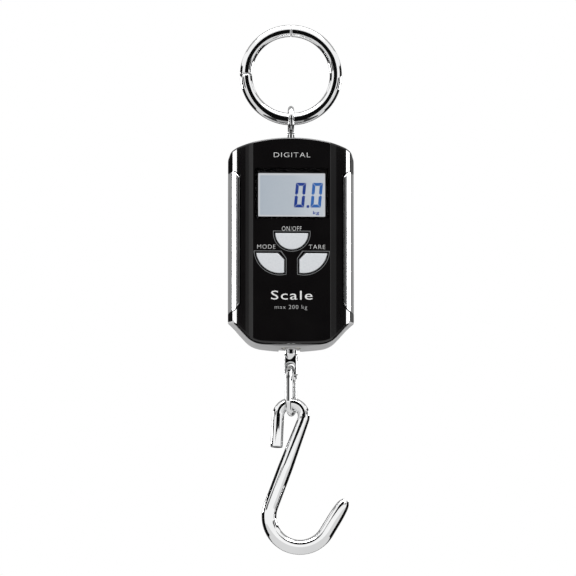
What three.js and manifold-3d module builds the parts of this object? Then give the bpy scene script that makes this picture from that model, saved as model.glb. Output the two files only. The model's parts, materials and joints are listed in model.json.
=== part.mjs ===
// Digital hanging scale: a ring to hang it from, a battery powered weighing unit, and a swivelling S-hook.
// Millimetres. +Z is up, the display faces -Y and +X is to the viewer's right.
// The origin is the hang point: the inside top of the ring, where a support bar bears.

import * as THREE from 'three';
import { mergeVertices } from 'three/addons/utils/BufferGeometryUtils.js';
import Module from 'manifold-3d';

const wasm = await Module();
wasm.setup();

// ---------------------------------------------------------------- driving dimensions

const GAP = 0.3; // running gap between touching pieces
const FAR = 50; // past the edge of every piece, for cuts that go right through

// Ring
const RING_R = 22.9; // centreline radius
const RING_WIRE_R = 3.1;
const RING_Z = -(RING_R - RING_WIRE_R); // ring centre below the hang point
const GATE_PIN_INSET = 1.5; // pin axis in from the outer edge of the ring
const GATE_PIN_R = 0.6;
const KNUCKLE_R = 1.5;
const TONGUE_HALF = 0.9;
const PLUNGER_R = 1.2;

// Eye bolt that hangs on the ring
const EYE_R = 5.7; // centreline radius of the eye
const EYE_BAR_R = 1.7;
const EYE_HALF_WIDTH = 1.5;
const SWING_Z = RING_Z - RING_R; // axis of the swing, in the ring's lowest wire
const EYE_Z = SWING_Z - 0.6;
const BOLT_R = 2.5; // in the load cell
const BOLT_NECK_R = 2.1; // in the bush

// Housing, measured down from its top edge
const HOUSING_TOP_Z = -54.6;
const HALF_WIDTH = 32;
const FRONT_Y = -14;
const REAR_Y = 12.5;
const PANEL_HALF = 19.4; // flat front panel
const CROWN_R = 84; // arch of the top edge
const TOP_HOLE_R = 2.9; // for the hanging bolt
const WALL = 2;
const HOUSING_HEIGHT = 105.9;
const PARTING_Y = 1.5; // front cover meets rear shell on the sides
const LOW_PARTING_Y = -7.5; // and along the bottom edge
const SAG = 0.8; // the rear shell reaches below the front cover by this

// Side trims
const TRIM_TOP = -16.7;
const TRIM_BOTTOM = -88.3;
const TRIM_CORNER_R = 4.5;
const TRIM_FRONT_Y = -11.4;
const TRIM_REAR_Y = 8.4;

// Display
const LENS_HALF = 18.8;
const LENS_TOP = -16.0;
const LENS_BOTTOM = -41.9;
const LENS_FRONT_Y = -13.95;
const LENS_BACK_Y = -13.35;
const WINDOW_HALF = 17;
const WINDOW_TOP = -18.3;
const WINDOW_BOTTOM = -40.7;
const POCKET_FRONT_Y = -11; // inside face of the cover behind the window and the buttons
const LCD_HALF = 18.2;
const LCD_TOP = -16.4;
const LCD_BOTTOM = -41.6;
const LCD_FRONT_Y = -11.7;
const LCD_BACK_Y = -9.7;
const BACKLIGHT_BOTTOM = -38.6;
const BACKLIGHT_BACK_Y = -8.7;

// Buttons: a half disc above two mirrored quarter discs
const BUTTON_FACE_Y = -14.3;
const POWER_TOP = -49.4;
const POWER_R = 8.3;
const SIDE_KEY_TOP = -59.7;
const SIDE_KEY_ARC_X = 6.1;
const SIDE_KEY_ARC_Z = -57.9;
const SIDE_KEY_ARC_R = 12;
const SIDE_KEY_INNER_X = 3.9;
const SIDE_KEY_CHAMFER = 3.2;
const KEY_RECESS = 1.2; // width of the sunk ring round each button
const KEY_LIP = 0.9; // flange that keeps each button in
const SWITCH_HALF = 3;
const SWITCH_THICK = 1.5;

// Load cell and swivel
const CELL_HALF_WIDTH = 17;
const CELL_HALF_DEPTH = 6;
const CELL_TOP = -7.7;
const CELL_BOTTOM = -43.4;
const CELL_SLOT = 1.6;
const CELL_ARM = 9;
const CELL_SLOT_REACH = 9; // how far each slot runs past the middle
const CELL_WEB_HALF = 1.5;
const CELL_POCKET_R = 6;
const GAUGE_HALF_THICK = 0.15;
const CABLE_R = 0.9;
const YOKE_HALF_WIDTH = 9;
const YOKE_TOP = CELL_BOTTOM - GAP;
const YOKE_HEIGHT = 20;
const YOKE_WALL = 3;
const YOKE_HALF_DEPTH = 5;
const YOKE_BOLT_R = 2;
const WASHER_THICK = 1;

// Batteries and their bays
const BATTERY_R = 5.2;
const BATTERY_LENGTH = 43.5;
const BATTERY_X = 19.5;
const BATTERY_Y = 5;
const BAY_TOP = -46.5;
const BAY_BOTTOM = -94.4;
const BAY_HALF = 5.7;
const BAY_FLOOR_Y = -0.6;
const BAY_WALL = 1;
const CONTACT_THICK = 0.4;
const DOOR_HALF = 24.9;
const DOOR_TOP = -47.1;
const DOOR_BOTTOM = -94.6;
const DOOR_THICK = 1.6;
const TAB_IN = 6; // each tongue of the door, from and to this far from the middle
const TAB_OUT = 10;
const TAB_FRONT_Y = REAR_Y - 2.9;

// Circuit board
const BOARD_HALF = 22;
const BOARD_FRONT_Y = -8.4;
const BOARD_BACK_Y = -6.8;
const BOARD_TOP = -13.8;
const BOARD_BOTTOM = -86;

// Screws: [x, height]
const CASE_SCREWS = [[-23.5, -10], [23.5, -10], [-19, -98.8], [19, -98.8]];
const CASE_SCREW_R = 1.25;
const CASE_HEAD_R = 2.5;
const CASE_BOSS_R = 3;
const BOARD_SCREWS = [[-20, -47.5], [20, -47.5], [-20, -82], [20, -82]];
const BOARD_SCREW_R = 0.9;
const BOARD_BOSS_R = 1.9;

// Bottom rod, link and hook
const YAW = THREE.MathUtils.degToRad(-16.5); // rest turn of the rod and the link about Z
const ROD_R = 3.2;
const ROD_BUSH_R = 4.7;
const ROD_HOLE_Z = -171.1;
const ROD_HOLE_R = 2.3;
const ROD_HEAD_R = 4.7;
const ROD_HEAD_HALF = 1.8;
const ROD_FLATS_TOP = 6.3; // top of the flattened head above its hole
const LINK_WIRE_R = 1.6;
const LINK_R = 5.7; // centreline radius of the link's round ends
const LINK_TOP_Z = -171.25; // centreline of its top
const LINK_BOTTOM_Z = -194.3;
const HOOK_WIRE_R = 3.1; // of the leg and the arch
const BOWL_WIRE_R = 3.75;
const HOOK_Z = -189.3; // centreline of the hook's arch top, where it swings
const ARCH_R = 6.5;
const BOWL_R = 15.6;
const BOWL_X = 4.5;
const BOWL_DROP = 58.1; // bowl centre below the arch top
const LEG_LENGTH = 16.2;
const LEG_LEAN = THREE.MathUtils.degToRad(2.8);
const TIP_ANGLE = THREE.MathUtils.degToRad(31); // tip's lean from vertical
const TIP_PROFILE = [[BOWL_WIRE_R, 0], [3.7, 9.5], [3.45, 14], [3, 17], [1.95, 19.2]]; // [radius, length]

// ---------------------------------------------------------------- materials

function finish(color, roughness, metalness) {
  return new THREE.MeshStandardMaterial({ color, roughness, metalness });
}

const CHROME = () => finish(0xd4d6d8, 0.1, 1);
const STEEL = () => finish(0xb4b6ba, 0.35, 1);
const ALUMINIUM = () => finish(0xc4c8cc, 0.45, 1);
const BLACK_GLOSS = () => finish(0x121011, 0.12, 0);
const GREY_SHELL = () => finish(0xc9c9c9, 0.45, 0);
const SILVER_KEY = () => finish(0xdfe3e8, 0.4, 0.1);
const DARK_RUBBER = () => finish(0x26262a, 0.85, 0);
const NYLON = () => finish(0xe8e6dd, 0.5, 0);
const BOARD_GREEN = () => finish(0x1c5a32, 0.5, 0);
const CHIP_BLACK = () => finish(0x1a1a1c, 0.6, 0);
const GLASS_GREY = () => finish(0xadb5be, 0.2, 0);
const LENS_CLEAR = () => finish(0x9fa6ad, 0.05, 0);
const DIFFUSER = () => finish(0xe9eef2, 0.6, 0);
const BRASS = () => finish(0xc9a24a, 0.3, 1);
const CELL_SLEEVE = () => finish(0x2d5fa8, 0.3, 0);
const GAUGE_FOIL = () => finish(0xc98a3c, 0.4, 0.3);

// ---------------------------------------------------------------- solid helpers

// A closed geometry becomes a solid: shared vertices are merged and collapsed triangles dropped.
function solid(geometry) {
  const bare = geometry.clone();
  bare.deleteAttribute('normal');
  bare.deleteAttribute('uv');
  const merged = mergeVertices(bare, 1e-4);
  const index = merged.index.array;
  const kept = [];
  for (let i = 0; i < index.length; i += 3) {
    const [a, b, c] = [index[i], index[i + 1], index[i + 2]];
    if (a !== b && b !== c && c !== a) kept.push(a, b, c);
  }
  return new wasm.Manifold(new wasm.Mesh({
    numProp: 3,
    vertProperties: Float32Array.from(merged.attributes.position.array),
    triVerts: Uint32Array.from(kept),
  }));
}

function geometryOf(body) {
  const mesh = body.getMesh();
  const geometry = new THREE.BufferGeometry();
  geometry.setAttribute('position', new THREE.BufferAttribute(Float32Array.from(mesh.vertProperties), 3));
  geometry.setIndex(Array.from(mesh.triVerts));
  geometry.computeVertexNormals();
  return geometry;
}

const join = (first, ...others) => others.reduce((sum, next) => sum.add(next), first);
const cut = (first, ...others) => others.reduce((rest, next) => rest.subtract(next), first);

function box(x0, x1, y0, y1, z0, z1) {
  const geometry = new THREE.BoxGeometry(x1 - x0, y1 - y0, z1 - z0);
  return solid(geometry.translate((x0 + x1) / 2, (y0 + y1) / 2, (z0 + z1) / 2));
}

// Round bars along Z and along Y.
function barZ(r, z0, z1, x = 0, y = 0, sides = 16, topR = r) {
  const geometry = new THREE.CylinderGeometry(topR, r, z1 - z0, sides).rotateX(Math.PI / 2);
  return solid(geometry.translate(x, y, (z0 + z1) / 2));
}

function barY(r, y0, y1, x = 0, z = 0, sides = 16) {
  return solid(new THREE.CylinderGeometry(r, r, y1 - y0, sides).translate(x, (y0 + y1) / 2, z));
}

const shapeOf = (points) => new THREE.Shape(points.map(([a, b]) => new THREE.Vector2(a, b)));
const mirrored = (half) => [...half, ...half.map(([a, b]) => [-a, b]).reverse()];

function extrude(shape, depth, curveSegments = 12) {
  return new THREE.ExtrudeGeometry(shape, { depth, bevelEnabled: false, curveSegments });
}

// Prisms: an XY outline along Z, an XZ outline along Y, and a YZ outline along X.
const prismZ = (shape, z0, z1) => solid(extrude(shape, z1 - z0).translate(0, 0, z0));
function prismY(shape, y0, y1, segments) {
  return solid(extrude(shape, y1 - y0, segments).rotateX(Math.PI / 2).translate(0, y1, 0));
}

function prismX(shape, x0, x1) {
  const turn = new THREE.Matrix4().makeBasis(
    new THREE.Vector3(0, 1, 0), new THREE.Vector3(0, 0, 1), new THREE.Vector3(1, 0, 0));
  return solid(extrude(shape, x1 - x0).applyMatrix4(turn).translate(x0, 0, 0));
}

// An arc in the XZ plane, from one angle to another; angles are measured from +X towards +Z.
class PlaneArc extends THREE.Curve {
  constructor(x, z, r, from, to) {
    super();
    Object.assign(this, { x, z, r, from, to });
  }

  getPoint(t, target = new THREE.Vector3()) {
    const angle = this.from + (this.to - this.from) * t;
    return target.set(this.x + this.r * Math.cos(angle), 0, this.z + this.r * Math.sin(angle));
  }
}

function sweep(path, r, steps, sides) {
  const section = new THREE.Shape();
  for (let i = 0; i < sides; i += 1) {
    const angle = (2 * Math.PI * (i + 0.5)) / sides;
    const point = [r * Math.cos(angle), r * Math.sin(angle)];
    if (i === 0) section.moveTo(...point);
    else section.lineTo(...point);
  }
  section.closePath();
  return solid(new THREE.ExtrudeGeometry(section, { extrudePath: path, steps, bevelEnabled: false }));
}

// A solid of revolution about Z, from a profile of [radius, height].
function lathe(profile, sides) {
  const points = profile.map(([r, z]) => new THREE.Vector2(r, z));
  return solid(new THREE.LatheGeometry(points, sides).rotateX(Math.PI / 2));
}

function addPiece(group, name, body, material, position = [0, 0, 0], rotation = [0, 0, 0]) {
  const mesh = new THREE.Mesh(geometryOf(body), material);
  mesh.name = name;
  mesh.position.set(...position);
  mesh.rotation.set(...rotation);
  group.add(mesh);
  return mesh;
}

// ---------------------------------------------------------------- ring with its hinged quarter

// Made about the ring's own centre. The gate is the upper left quarter: it is pinned at nine o'clock, near
// the ring's outer edge, and butts against the fixed part at twelve o'clock, so it opens outwards.
function buildRing() {
  const ring = new THREE.Group();
  ring.position.z = RING_Z;
  const seam = GAP / 2;
  const pinX = -(RING_R + RING_WIRE_R - GATE_PIN_INSET);

  const hoop = solid(new THREE.TorusGeometry(RING_R, RING_WIRE_R, 12, 64).rotateX(Math.PI / 2));
  const quarter = box(-FAR, -seam, -FAR, FAR, seam, FAR);
  const gateSpace = box(-FAR, seam, -FAR, FAR, -seam, FAR);

  const tongue = join(
    barY(KNUCKLE_R, -TONGUE_HALF, TONGUE_HALF, pinX, 0, 16),
    box(pinX - KNUCKLE_R + 0.1, pinX + KNUCKLE_R, -TONGUE_HALF, TONGUE_HALF, 0, 3),
  );
  const pinHole = barY(GATE_PIN_R + GAP, -FAR, FAR, pinX, 0, 12);
  const plungerBore = new THREE.CylinderGeometry(PLUNGER_R + GAP, PLUNGER_R + GAP, 8, 12);
  const plungerHole = solid(plungerBore.rotateZ(Math.PI / 2).translate(-4, 0, RING_R));
  const gate = cut(join(hoop.intersect(quarter), tongue.intersect(hoop)), pinHole, plungerHole);

  const slot = join(
    barY(KNUCKLE_R + GAP, -TONGUE_HALF - GAP, TONGUE_HALF + GAP, pinX, 0, 16),
    box(-FAR, pinX, -TONGUE_HALF - GAP, TONGUE_HALF + GAP, -KNUCKLE_R - GAP, 1),
  );
  const relief = [[pinX, -seam], [pinX - 6, -seam - 6], [pinX - 6, 1], [pinX, 1]];
  const cornerRelief = prismY(shapeOf(relief), -FAR, FAR);
  const fixed = cut(hoop, gateSpace, slot, pinHole, cornerRelief);

  const pinHalf = 2.4;
  addPiece(ring, 'ring_body', fixed, CHROME());
  addPiece(ring, 'ring_gate', gate, CHROME());
  addPiece(ring, 'gate_pin', barY(GATE_PIN_R, -pinHalf, pinHalf, 0, 0, 10), STEEL(), [pinX, 0, 0]);
  const plunger = lathe([[0, -6], [PLUNGER_R, -6], [PLUNGER_R, -0.8], [0.7, -0.35], [0, -0.2]], 12);
  addPiece(ring, 'gate_plunger', plunger, STEEL(), [0, 0, RING_R], [0, Math.PI / 2, 0]);
  return ring;
}

// ---------------------------------------------------------------- housing shells

// Front view of the housing. inset moves the outline inwards; sag lowers the middle of its bottom edge.
function frontOutline(inset, sag = 0) {
  const side = HALF_WIDTH - inset;
  const crownEnd = 28.6;
  const crownR = CROWN_R - inset;
  const half = Math.asin(crownEnd / CROWN_R);
  const right = [
    [side - 1.3, -6 - inset], [side, -9.3 - inset], [side, -93.5], [30 - inset, -94.4 + inset * 0.4],
    [28 - inset, -96 + inset * 0.5], [26.4 - inset * 0.9, -97.8 + inset * 0.6],
    [21.7 - inset * 0.7, -102.9 + inset * 0.7], [18.8 - inset * 0.5, -104.6 + inset * 0.9],
    [15.6 - inset * 0.3, -105.5 + inset], [8, -105.8 - sag * 0.6 + inset],
  ];
  const outline = new THREE.Shape();
  outline.absarc(0, -CROWN_R, crownR, Math.PI / 2 + half, Math.PI / 2 - half, true);
  for (const [x, z] of right) outline.lineTo(x, z);
  outline.lineTo(0, -HOUSING_HEIGHT - sag + inset);
  for (const [x, z] of [...right].reverse()) outline.lineTo(-x, z);
  outline.closePath();
  return outline;
}

// Plan view: flat panel, soft bevel, steep facet, side and rounded back.
const PLAN_OUTER = [
  [PANEL_HALF, FRONT_Y], [23.6, -12.45], [27.6, -10.3], [29.9, -6], [HALF_WIDTH, PARTING_Y],
  [31.2, 6], [29.6, 9.8], [27, REAR_Y],
];
const PLAN_INNER = [
  [PANEL_HALF - 0.5, FRONT_Y + WALL], [22.9, -10.6], [26.1, -8.6], [27.9, -5], [29.6, PARTING_Y],
  [28.9, 5.4], [27.4, 8.6], [25.8, REAR_Y - 1.8],
];

function envelope(plan, inset, sag) {
  const column = prismZ(shapeOf(mirrored(plan)), -HOUSING_HEIGHT - 5, 5);
  return column.intersect(prismY(frontOutline(inset, sag), FRONT_Y - 5, REAR_Y + 5, 10));
}

// The space in front of the parting surface, moved back by offset.
function frontSide(offset) {
  return prismX(shapeOf([
    [-30, 10], [PARTING_Y + offset, 10], [PARTING_Y + offset, -92.7 - offset / 2],
    [LOW_PARTING_Y + offset, -93.4 - offset / 2], [LOW_PARTING_Y + offset, -120], [-30, -120],
  ]), -FAR, FAR);
}

// Plan section of a side trim; seat is the clearance round it in the shells.
function trimPlan(seat) {
  const outer = [
    [26.5, -11.2], [27.9, -10.6], [30.3, -6.1],
    [32.05, 1.5], [31.3, 6], [30.25, TRIM_REAR_Y],
  ];
  const inner = [
    [29.1, TRIM_REAR_Y], [30.05, 5.8], [30.8, 1.4],
    [29.2, -5.6], [27, -9.5], [25.9, -10.15],
  ];
  if (seat === 0) return [...outer, ...inner];
  const deep = inner.map(([x, y]) => [x - seat, y + seat / 2]);
  deep[0][1] = TRIM_REAR_Y + seat;
  deep[deep.length - 1] = [25.9 - seat, -10.15 + seat / 4];
  return [[26.5 - seat, -13], [36, -13], [36, TRIM_REAR_Y + seat], ...deep];
}

function trimSide(seat) {
  const outline = new THREE.Shape();
  const front = TRIM_FRONT_Y - seat;
  const top = TRIM_TOP + seat;
  const bottom = TRIM_BOTTOM - seat;
  const r = TRIM_CORNER_R + seat;
  outline.moveTo(TRIM_REAR_Y + 3, bottom);
  outline.lineTo(TRIM_REAR_Y + 3, top);
  outline.lineTo(front + r, top);
  outline.absarc(front + r, top - r, r, Math.PI / 2, Math.PI, false);
  outline.absarc(front + r, bottom + r, r, Math.PI, 1.5 * Math.PI, false);
  outline.closePath();
  return outline;
}

function trim(side, seat = 0) {
  const section = trimPlan(seat).map(([x, y]) => [side * x, y]);
  if (side < 0) section.reverse();
  const column = prismZ(shapeOf(section), TRIM_BOTTOM - 5, TRIM_TOP + 5);
  return column.intersect(prismX(trimSide(seat), -FAR, FAR));
}

// Button outlines, grown outwards by margin.
function powerOutline(margin) {
  const outline = new THREE.Shape();
  const r = POWER_R + margin;
  const lift = Math.asin(margin / r);
  outline.absarc(0, POWER_TOP, r, lift, Math.PI - lift, true);
  outline.closePath();
  return outline;
}

function sideKeyOutline(side, margin) {
  const r = SIDE_KEY_ARC_R + margin;
  const top = SIDE_KEY_TOP + margin;
  const inner = SIDE_KEY_INNER_X - margin;
  const chamfer = SIDE_KEY_CHAMFER - margin / 2;
  const points = [[inner, top - SIDE_KEY_CHAMFER - margin / 2], [inner + chamfer, top]];
  const from = -Math.asin((SIDE_KEY_ARC_Z - top) / r);
  const to = -Math.PI / 2 - Math.asin((SIDE_KEY_ARC_X - inner) / r);
  const steps = 14;
  for (let i = 0; i <= steps; i += 1) {
    const angle = from + ((to - from) * i) / steps;
    points.push([SIDE_KEY_ARC_X + r * Math.cos(angle), SIDE_KEY_ARC_Z + r * Math.sin(angle)]);
  }
  return shapeOf(points.map(([x, z]) => [side * x, z]));
}

const KEYS = [
  { name: 'power', outline: powerOutline, x: 0, z: -53 },
  { name: 'mode', outline: (margin) => sideKeyOutline(-1, margin), x: -9.6, z: -64 },
  { name: 'tare', outline: (margin) => sideKeyOutline(1, margin), x: 9.6, z: -64 },
];

function buildFrontCover() {
  const inner = envelope(PLAN_INNER, WALL, 0);
  const room = envelope(PLAN_INNER, WALL + GAP, 0);
  const skin = envelope(PLAN_OUTER, 0.5, 0).intersect(frontSide(0));
  let cover = envelope(PLAN_OUTER, 0, 0).intersect(frontSide(0)).subtract(inner);
  for (const [x, z] of CASE_SCREWS) {
    const boss = barY(CASE_BOSS_R, -12.5, 1, x, z, 14);
    cover = join(cover, boss.intersect(skin), boss.intersect(room));
  }
  for (const [x, z] of BOARD_SCREWS) {
    cover = cover.add(barY(BOARD_BOSS_R, -12.5, BOARD_FRONT_Y - GAP, x, z, 12));
  }
  cover = cut(
    cover,
    trim(-1, GAP),
    trim(1, GAP),
    box(-LENS_HALF - GAP, LENS_HALF + GAP, -FAR, LENS_BACK_Y + GAP, LENS_BOTTOM - GAP, LENS_TOP + GAP),
    box(-WINDOW_HALF, WINDOW_HALF, -FAR, POCKET_FRONT_Y, WINDOW_BOTTOM, WINDOW_TOP),
    barZ(TOP_HOLE_R, -6, 5, 0, 0, 16),
  );
  for (const key of KEYS) {
    cover = cut(
      cover,
      prismY(key.outline(GAP), -FAR, POCKET_FRONT_Y, 6),
      prismY(key.outline(KEY_RECESS), -FAR, FRONT_Y + 0.4, 6),
    );
  }
  for (const [x, z] of CASE_SCREWS) {
    cover = cover.subtract(barY(CASE_SCREW_R + GAP, -8, 5, x, z, 12));
  }
  for (const [x, z] of BOARD_SCREWS) {
    cover = cover.subtract(barY(BOARD_SCREW_R + GAP, -11.6, -5, x, z, 10));
  }
  return cover;
}

function buildRearShell() {
  const inner = envelope(PLAN_INNER, WALL, 0);
  const doorBottom = DOOR_BOTTOM - GAP;
  const doorTop = DOOR_TOP + GAP;
  const fingerNotch = [[-5, DOOR_TOP], [-4, DOOR_TOP + 3], [4, DOOR_TOP + 3], [5, DOOR_TOP]];
  const rodArch = [[-7.6, -112], [-5.6, -104.6], [4.6, -104.6], [6.6, -112]];
  let shell = envelope(PLAN_OUTER, 0, SAG).subtract(frontSide(GAP)).subtract(inner);
  for (const x of [-BATTERY_X, BATTERY_X]) {
    const out = BAY_HALF + BAY_WALL;
    const floorY = BAY_FLOOR_Y - BAY_WALL;
    const block = box(x - out, x + out, floorY, REAR_Y - 1, BAY_BOTTOM - BAY_WALL, BAY_TOP + BAY_WALL);
    const hollow = box(x - BAY_HALF, x + BAY_HALF, BAY_FLOOR_Y, FAR, BAY_BOTTOM, BAY_TOP);
    shell = shell.add(block).subtract(hollow);
  }
  for (const [x, z] of CASE_SCREWS) {
    shell = shell.add(barY(CASE_BOSS_R, 1 + GAP, REAR_Y - 1, x, z, 14));
  }
  shell = cut(
    shell,
    trim(-1, GAP),
    trim(1, GAP),
    box(-DOOR_HALF - GAP, DOOR_HALF + GAP, REAR_Y - DOOR_THICK - GAP, FAR, doorBottom, doorTop),
    box(-12, 12, REAR_Y - 3, FAR, doorBottom, doorTop),
    prismY(shapeOf(fingerNotch), REAR_Y - 1, FAR),
    prismY(shapeOf(rodArch), 6.6, FAR),
    barZ(TOP_HOLE_R, -6, 5, 0, 0, 16),
    barZ(ROD_BUSH_R + GAP, -115, -95, 0, 0, 20),
  );
  for (const [x, z] of CASE_SCREWS) {
    shell = cut(
      shell,
      barY(CASE_SCREW_R + GAP, 0, FAR, x, z, 12),
      barY(CASE_HEAD_R + 0.4, REAR_Y - 2.2, FAR, x, z, 14),
    );
  }
  return shell;
}

// ---------------------------------------------------------------- inside the housing

function buildLoadCell() {
  const slotTop = CELL_TOP - CELL_ARM;
  const slotLow = CELL_BOTTOM + CELL_ARM;
  const middle = (CELL_TOP + CELL_BOTTOM) / 2;
  const deep = CELL_HALF_DEPTH;
  return cut(
    box(-CELL_HALF_WIDTH, CELL_HALF_WIDTH, -deep, deep, CELL_BOTTOM, CELL_TOP),
    box(-CELL_SLOT_REACH, FAR, -FAR, FAR, slotTop - CELL_SLOT, slotTop),
    box(-FAR, CELL_SLOT_REACH, -FAR, FAR, slotLow, slotLow + CELL_SLOT),
    barY(CELL_POCKET_R, -FAR, -CELL_WEB_HALF, 0, middle, 20),
    barY(CELL_POCKET_R, CELL_WEB_HALF, FAR, 0, middle, 20),
    barZ(BOLT_R + GAP, slotTop, CELL_TOP + 1, 0, 0, 16),
    barZ(YOKE_BOLT_R + GAP, CELL_BOTTOM - 1, slotLow, 0, 0, 12),
  );
}

function spring(length, rLow, rHigh, turns, wire) {
  class Coil extends THREE.Curve {
    getPoint(t, target = new THREE.Vector3()) {
      const angle = 2 * Math.PI * turns * t;
      const r = rLow + (rHigh - rLow) * t;
      return target.set(r * Math.cos(angle), r * Math.sin(angle), length * t);
    }
  }
  return sweep(new Coil(), wire, Math.round(turns * 10), 6);
}

// Hanging bolt, its lock nut and the bush that centres it in the housing.
function addHangingBolt(unit) {
  const eyeZ = EYE_Z - HOUSING_TOP_Z;
  const eye = new THREE.TorusGeometry(EYE_R, EYE_BAR_R, 10, 24);
  eye.scale(1, 1, EYE_HALF_WIDTH / EYE_BAR_R);
  eye.rotateY(Math.PI / 2);
  eye.translate(0, 0, eyeZ);
  const bolt = join(
    solid(eye),
    barZ(1.95, 0.2, eyeZ - EYE_R - 0.6, 0, 0, 16, 1.5),
    barZ(BOLT_NECK_R, -4, 0.5, 0, 0, 16),
    barZ(BOLT_R, CELL_TOP - CELL_ARM + 0.4, -2.9, 0, 0, 16),
  );
  addPiece(unit, 'top_eye_bolt', bolt, CHROME());
  const nut = cut(barZ(4.5, 0, 2.8, 0, 0, 6), barZ(BOLT_R + GAP, -1, 4, 0, 0, 16));
  addPiece(unit, 'top_lock_nut', nut, STEEL(), [0, 0, CELL_TOP + GAP]);
  const bush = cut(
    join(barZ(2.6, -2.4, -0.4, 0, 0, 16), barZ(4, -3.2, -2.3, 0, 0, 16)),
    barZ(BOLT_NECK_R + 0.25, -5, 1, 0, 0, 16),
    barZ(BOLT_R + GAP, -5, -2.6, 0, 0, 16),
  );
  addPiece(unit, 'top_bush', bush, NYLON());
}

// Load cell with four strain gauges on its thin web, and its cable to the board.
function addLoadCell(unit) {
  addPiece(unit, 'load_cell', buildLoadCell(), ALUMINIUM());
  const middle = (CELL_TOP + CELL_BOTTOM) / 2;
  const gauge = box(-1.2, 1.2, -GAUGE_HALF_THICK, GAUGE_HALF_THICK, -2.6, 2.6);
  const places = [
    { place: 'front_left', x: -2.2, face: -1 },
    { place: 'front_right', x: 2.2, face: -1 },
    { place: 'rear_left', x: -2.2, face: 1 },
    { place: 'rear_right', x: 2.2, face: 1 },
  ];
  for (const { place, x, face } of places) {
    const y = face * (CELL_WEB_HALF + GAP + GAUGE_HALF_THICK);
    const lean = Math.sign(x) * Math.PI / 8;
    addPiece(unit, `strain_gauge_${place}`, gauge, GAUGE_FOIL(), [x, y, middle], [0, lean, 0]);
  }
  const cableRoute = new THREE.CatmullRomCurve3([
    [18.4, 0, -24], [19.6, -0.5, -32], [19.4, -2.6, -41], [17.2, -4.6, -46.5], [14, -5.5, -50],
  ].map((point) => new THREE.Vector3(...point)));
  addPiece(unit, 'cell_cable', sweep(cableRoute, CABLE_R, 12, 8), DARK_RUBBER());
}

// Stirrup under the load cell, which the turning rod hangs in.
function addYoke(unit) {
  const yokeBottom = YOKE_TOP - YOKE_HEIGHT;
  const opening = YOKE_HALF_WIDTH - YOKE_WALL;
  const yoke = cut(
    box(-YOKE_HALF_WIDTH, YOKE_HALF_WIDTH, -YOKE_HALF_DEPTH, YOKE_HALF_DEPTH, yokeBottom, YOKE_TOP),
    box(-opening, opening, -FAR, FAR, yokeBottom + YOKE_WALL, YOKE_TOP - YOKE_WALL),
    barZ(YOKE_BOLT_R + GAP, YOKE_TOP - 5, YOKE_TOP + 1, 0, 0, 12),
    barZ(ROD_R + GAP, yokeBottom - 1, yokeBottom + 5, 0, 0, 20),
  );
  addPiece(unit, 'swivel_yoke', yoke, STEEL());
  const boltProfile = [[0, -3], [3.2, -3], [3.2, -GAP], [YOKE_BOLT_R, -GAP], [YOKE_BOLT_R, 11], [0, 11]];
  const yokeBolt = lathe(boltProfile, 14);
  addPiece(unit, 'yoke_bolt', yokeBolt, STEEL(), [0, 0, YOKE_TOP - YOKE_WALL]);
  const washer = cut(barZ(5.3, 0, WASHER_THICK, 0, 0, 20), barZ(ROD_R + GAP, -1, 3, 0, 0, 20));
  addPiece(unit, 'thrust_washer', washer, BRASS(), [0, 0, yokeBottom + YOKE_WALL + GAP]);
  const rodBush = cut(
    join(barZ(ROD_BUSH_R, -106, -103, 0, 0, 20), barZ(6, -103.3, -102, 0, 0, 20)),
    barZ(ROD_R + GAP, -110, -95, 0, 0, 20),
  );
  addPiece(unit, 'bottom_bush', rodBush, NYLON());
}

// Lens, liquid crystal panel, its diffuser and the rubber strip that connects it.
function addDisplay(unit) {
  const lens = box(-LENS_HALF, LENS_HALF, LENS_FRONT_Y, LENS_BACK_Y, LENS_BOTTOM, LENS_TOP);
  addPiece(unit, 'display_lens', lens, LENS_CLEAR());
  const panel = box(-LCD_HALF, LCD_HALF, LCD_FRONT_Y, LCD_BACK_Y, LCD_BOTTOM, LCD_TOP);
  addPiece(unit, 'lcd_panel', panel, GLASS_GREY());
  const front = LCD_BACK_Y + GAP;
  const backlight = box(-LCD_HALF, LCD_HALF, front, BACKLIGHT_BACK_Y, BACKLIGHT_BOTTOM, LCD_TOP);
  addPiece(unit, 'lcd_backlight', backlight, DIFFUSER());
  const connector = box(-17, 17, front, BACKLIGHT_BACK_Y, LCD_BOTTOM + 0.2, BACKLIGHT_BOTTOM - 0.4);
  addPiece(unit, 'lcd_connector', connector, DARK_RUBBER());
}

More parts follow.
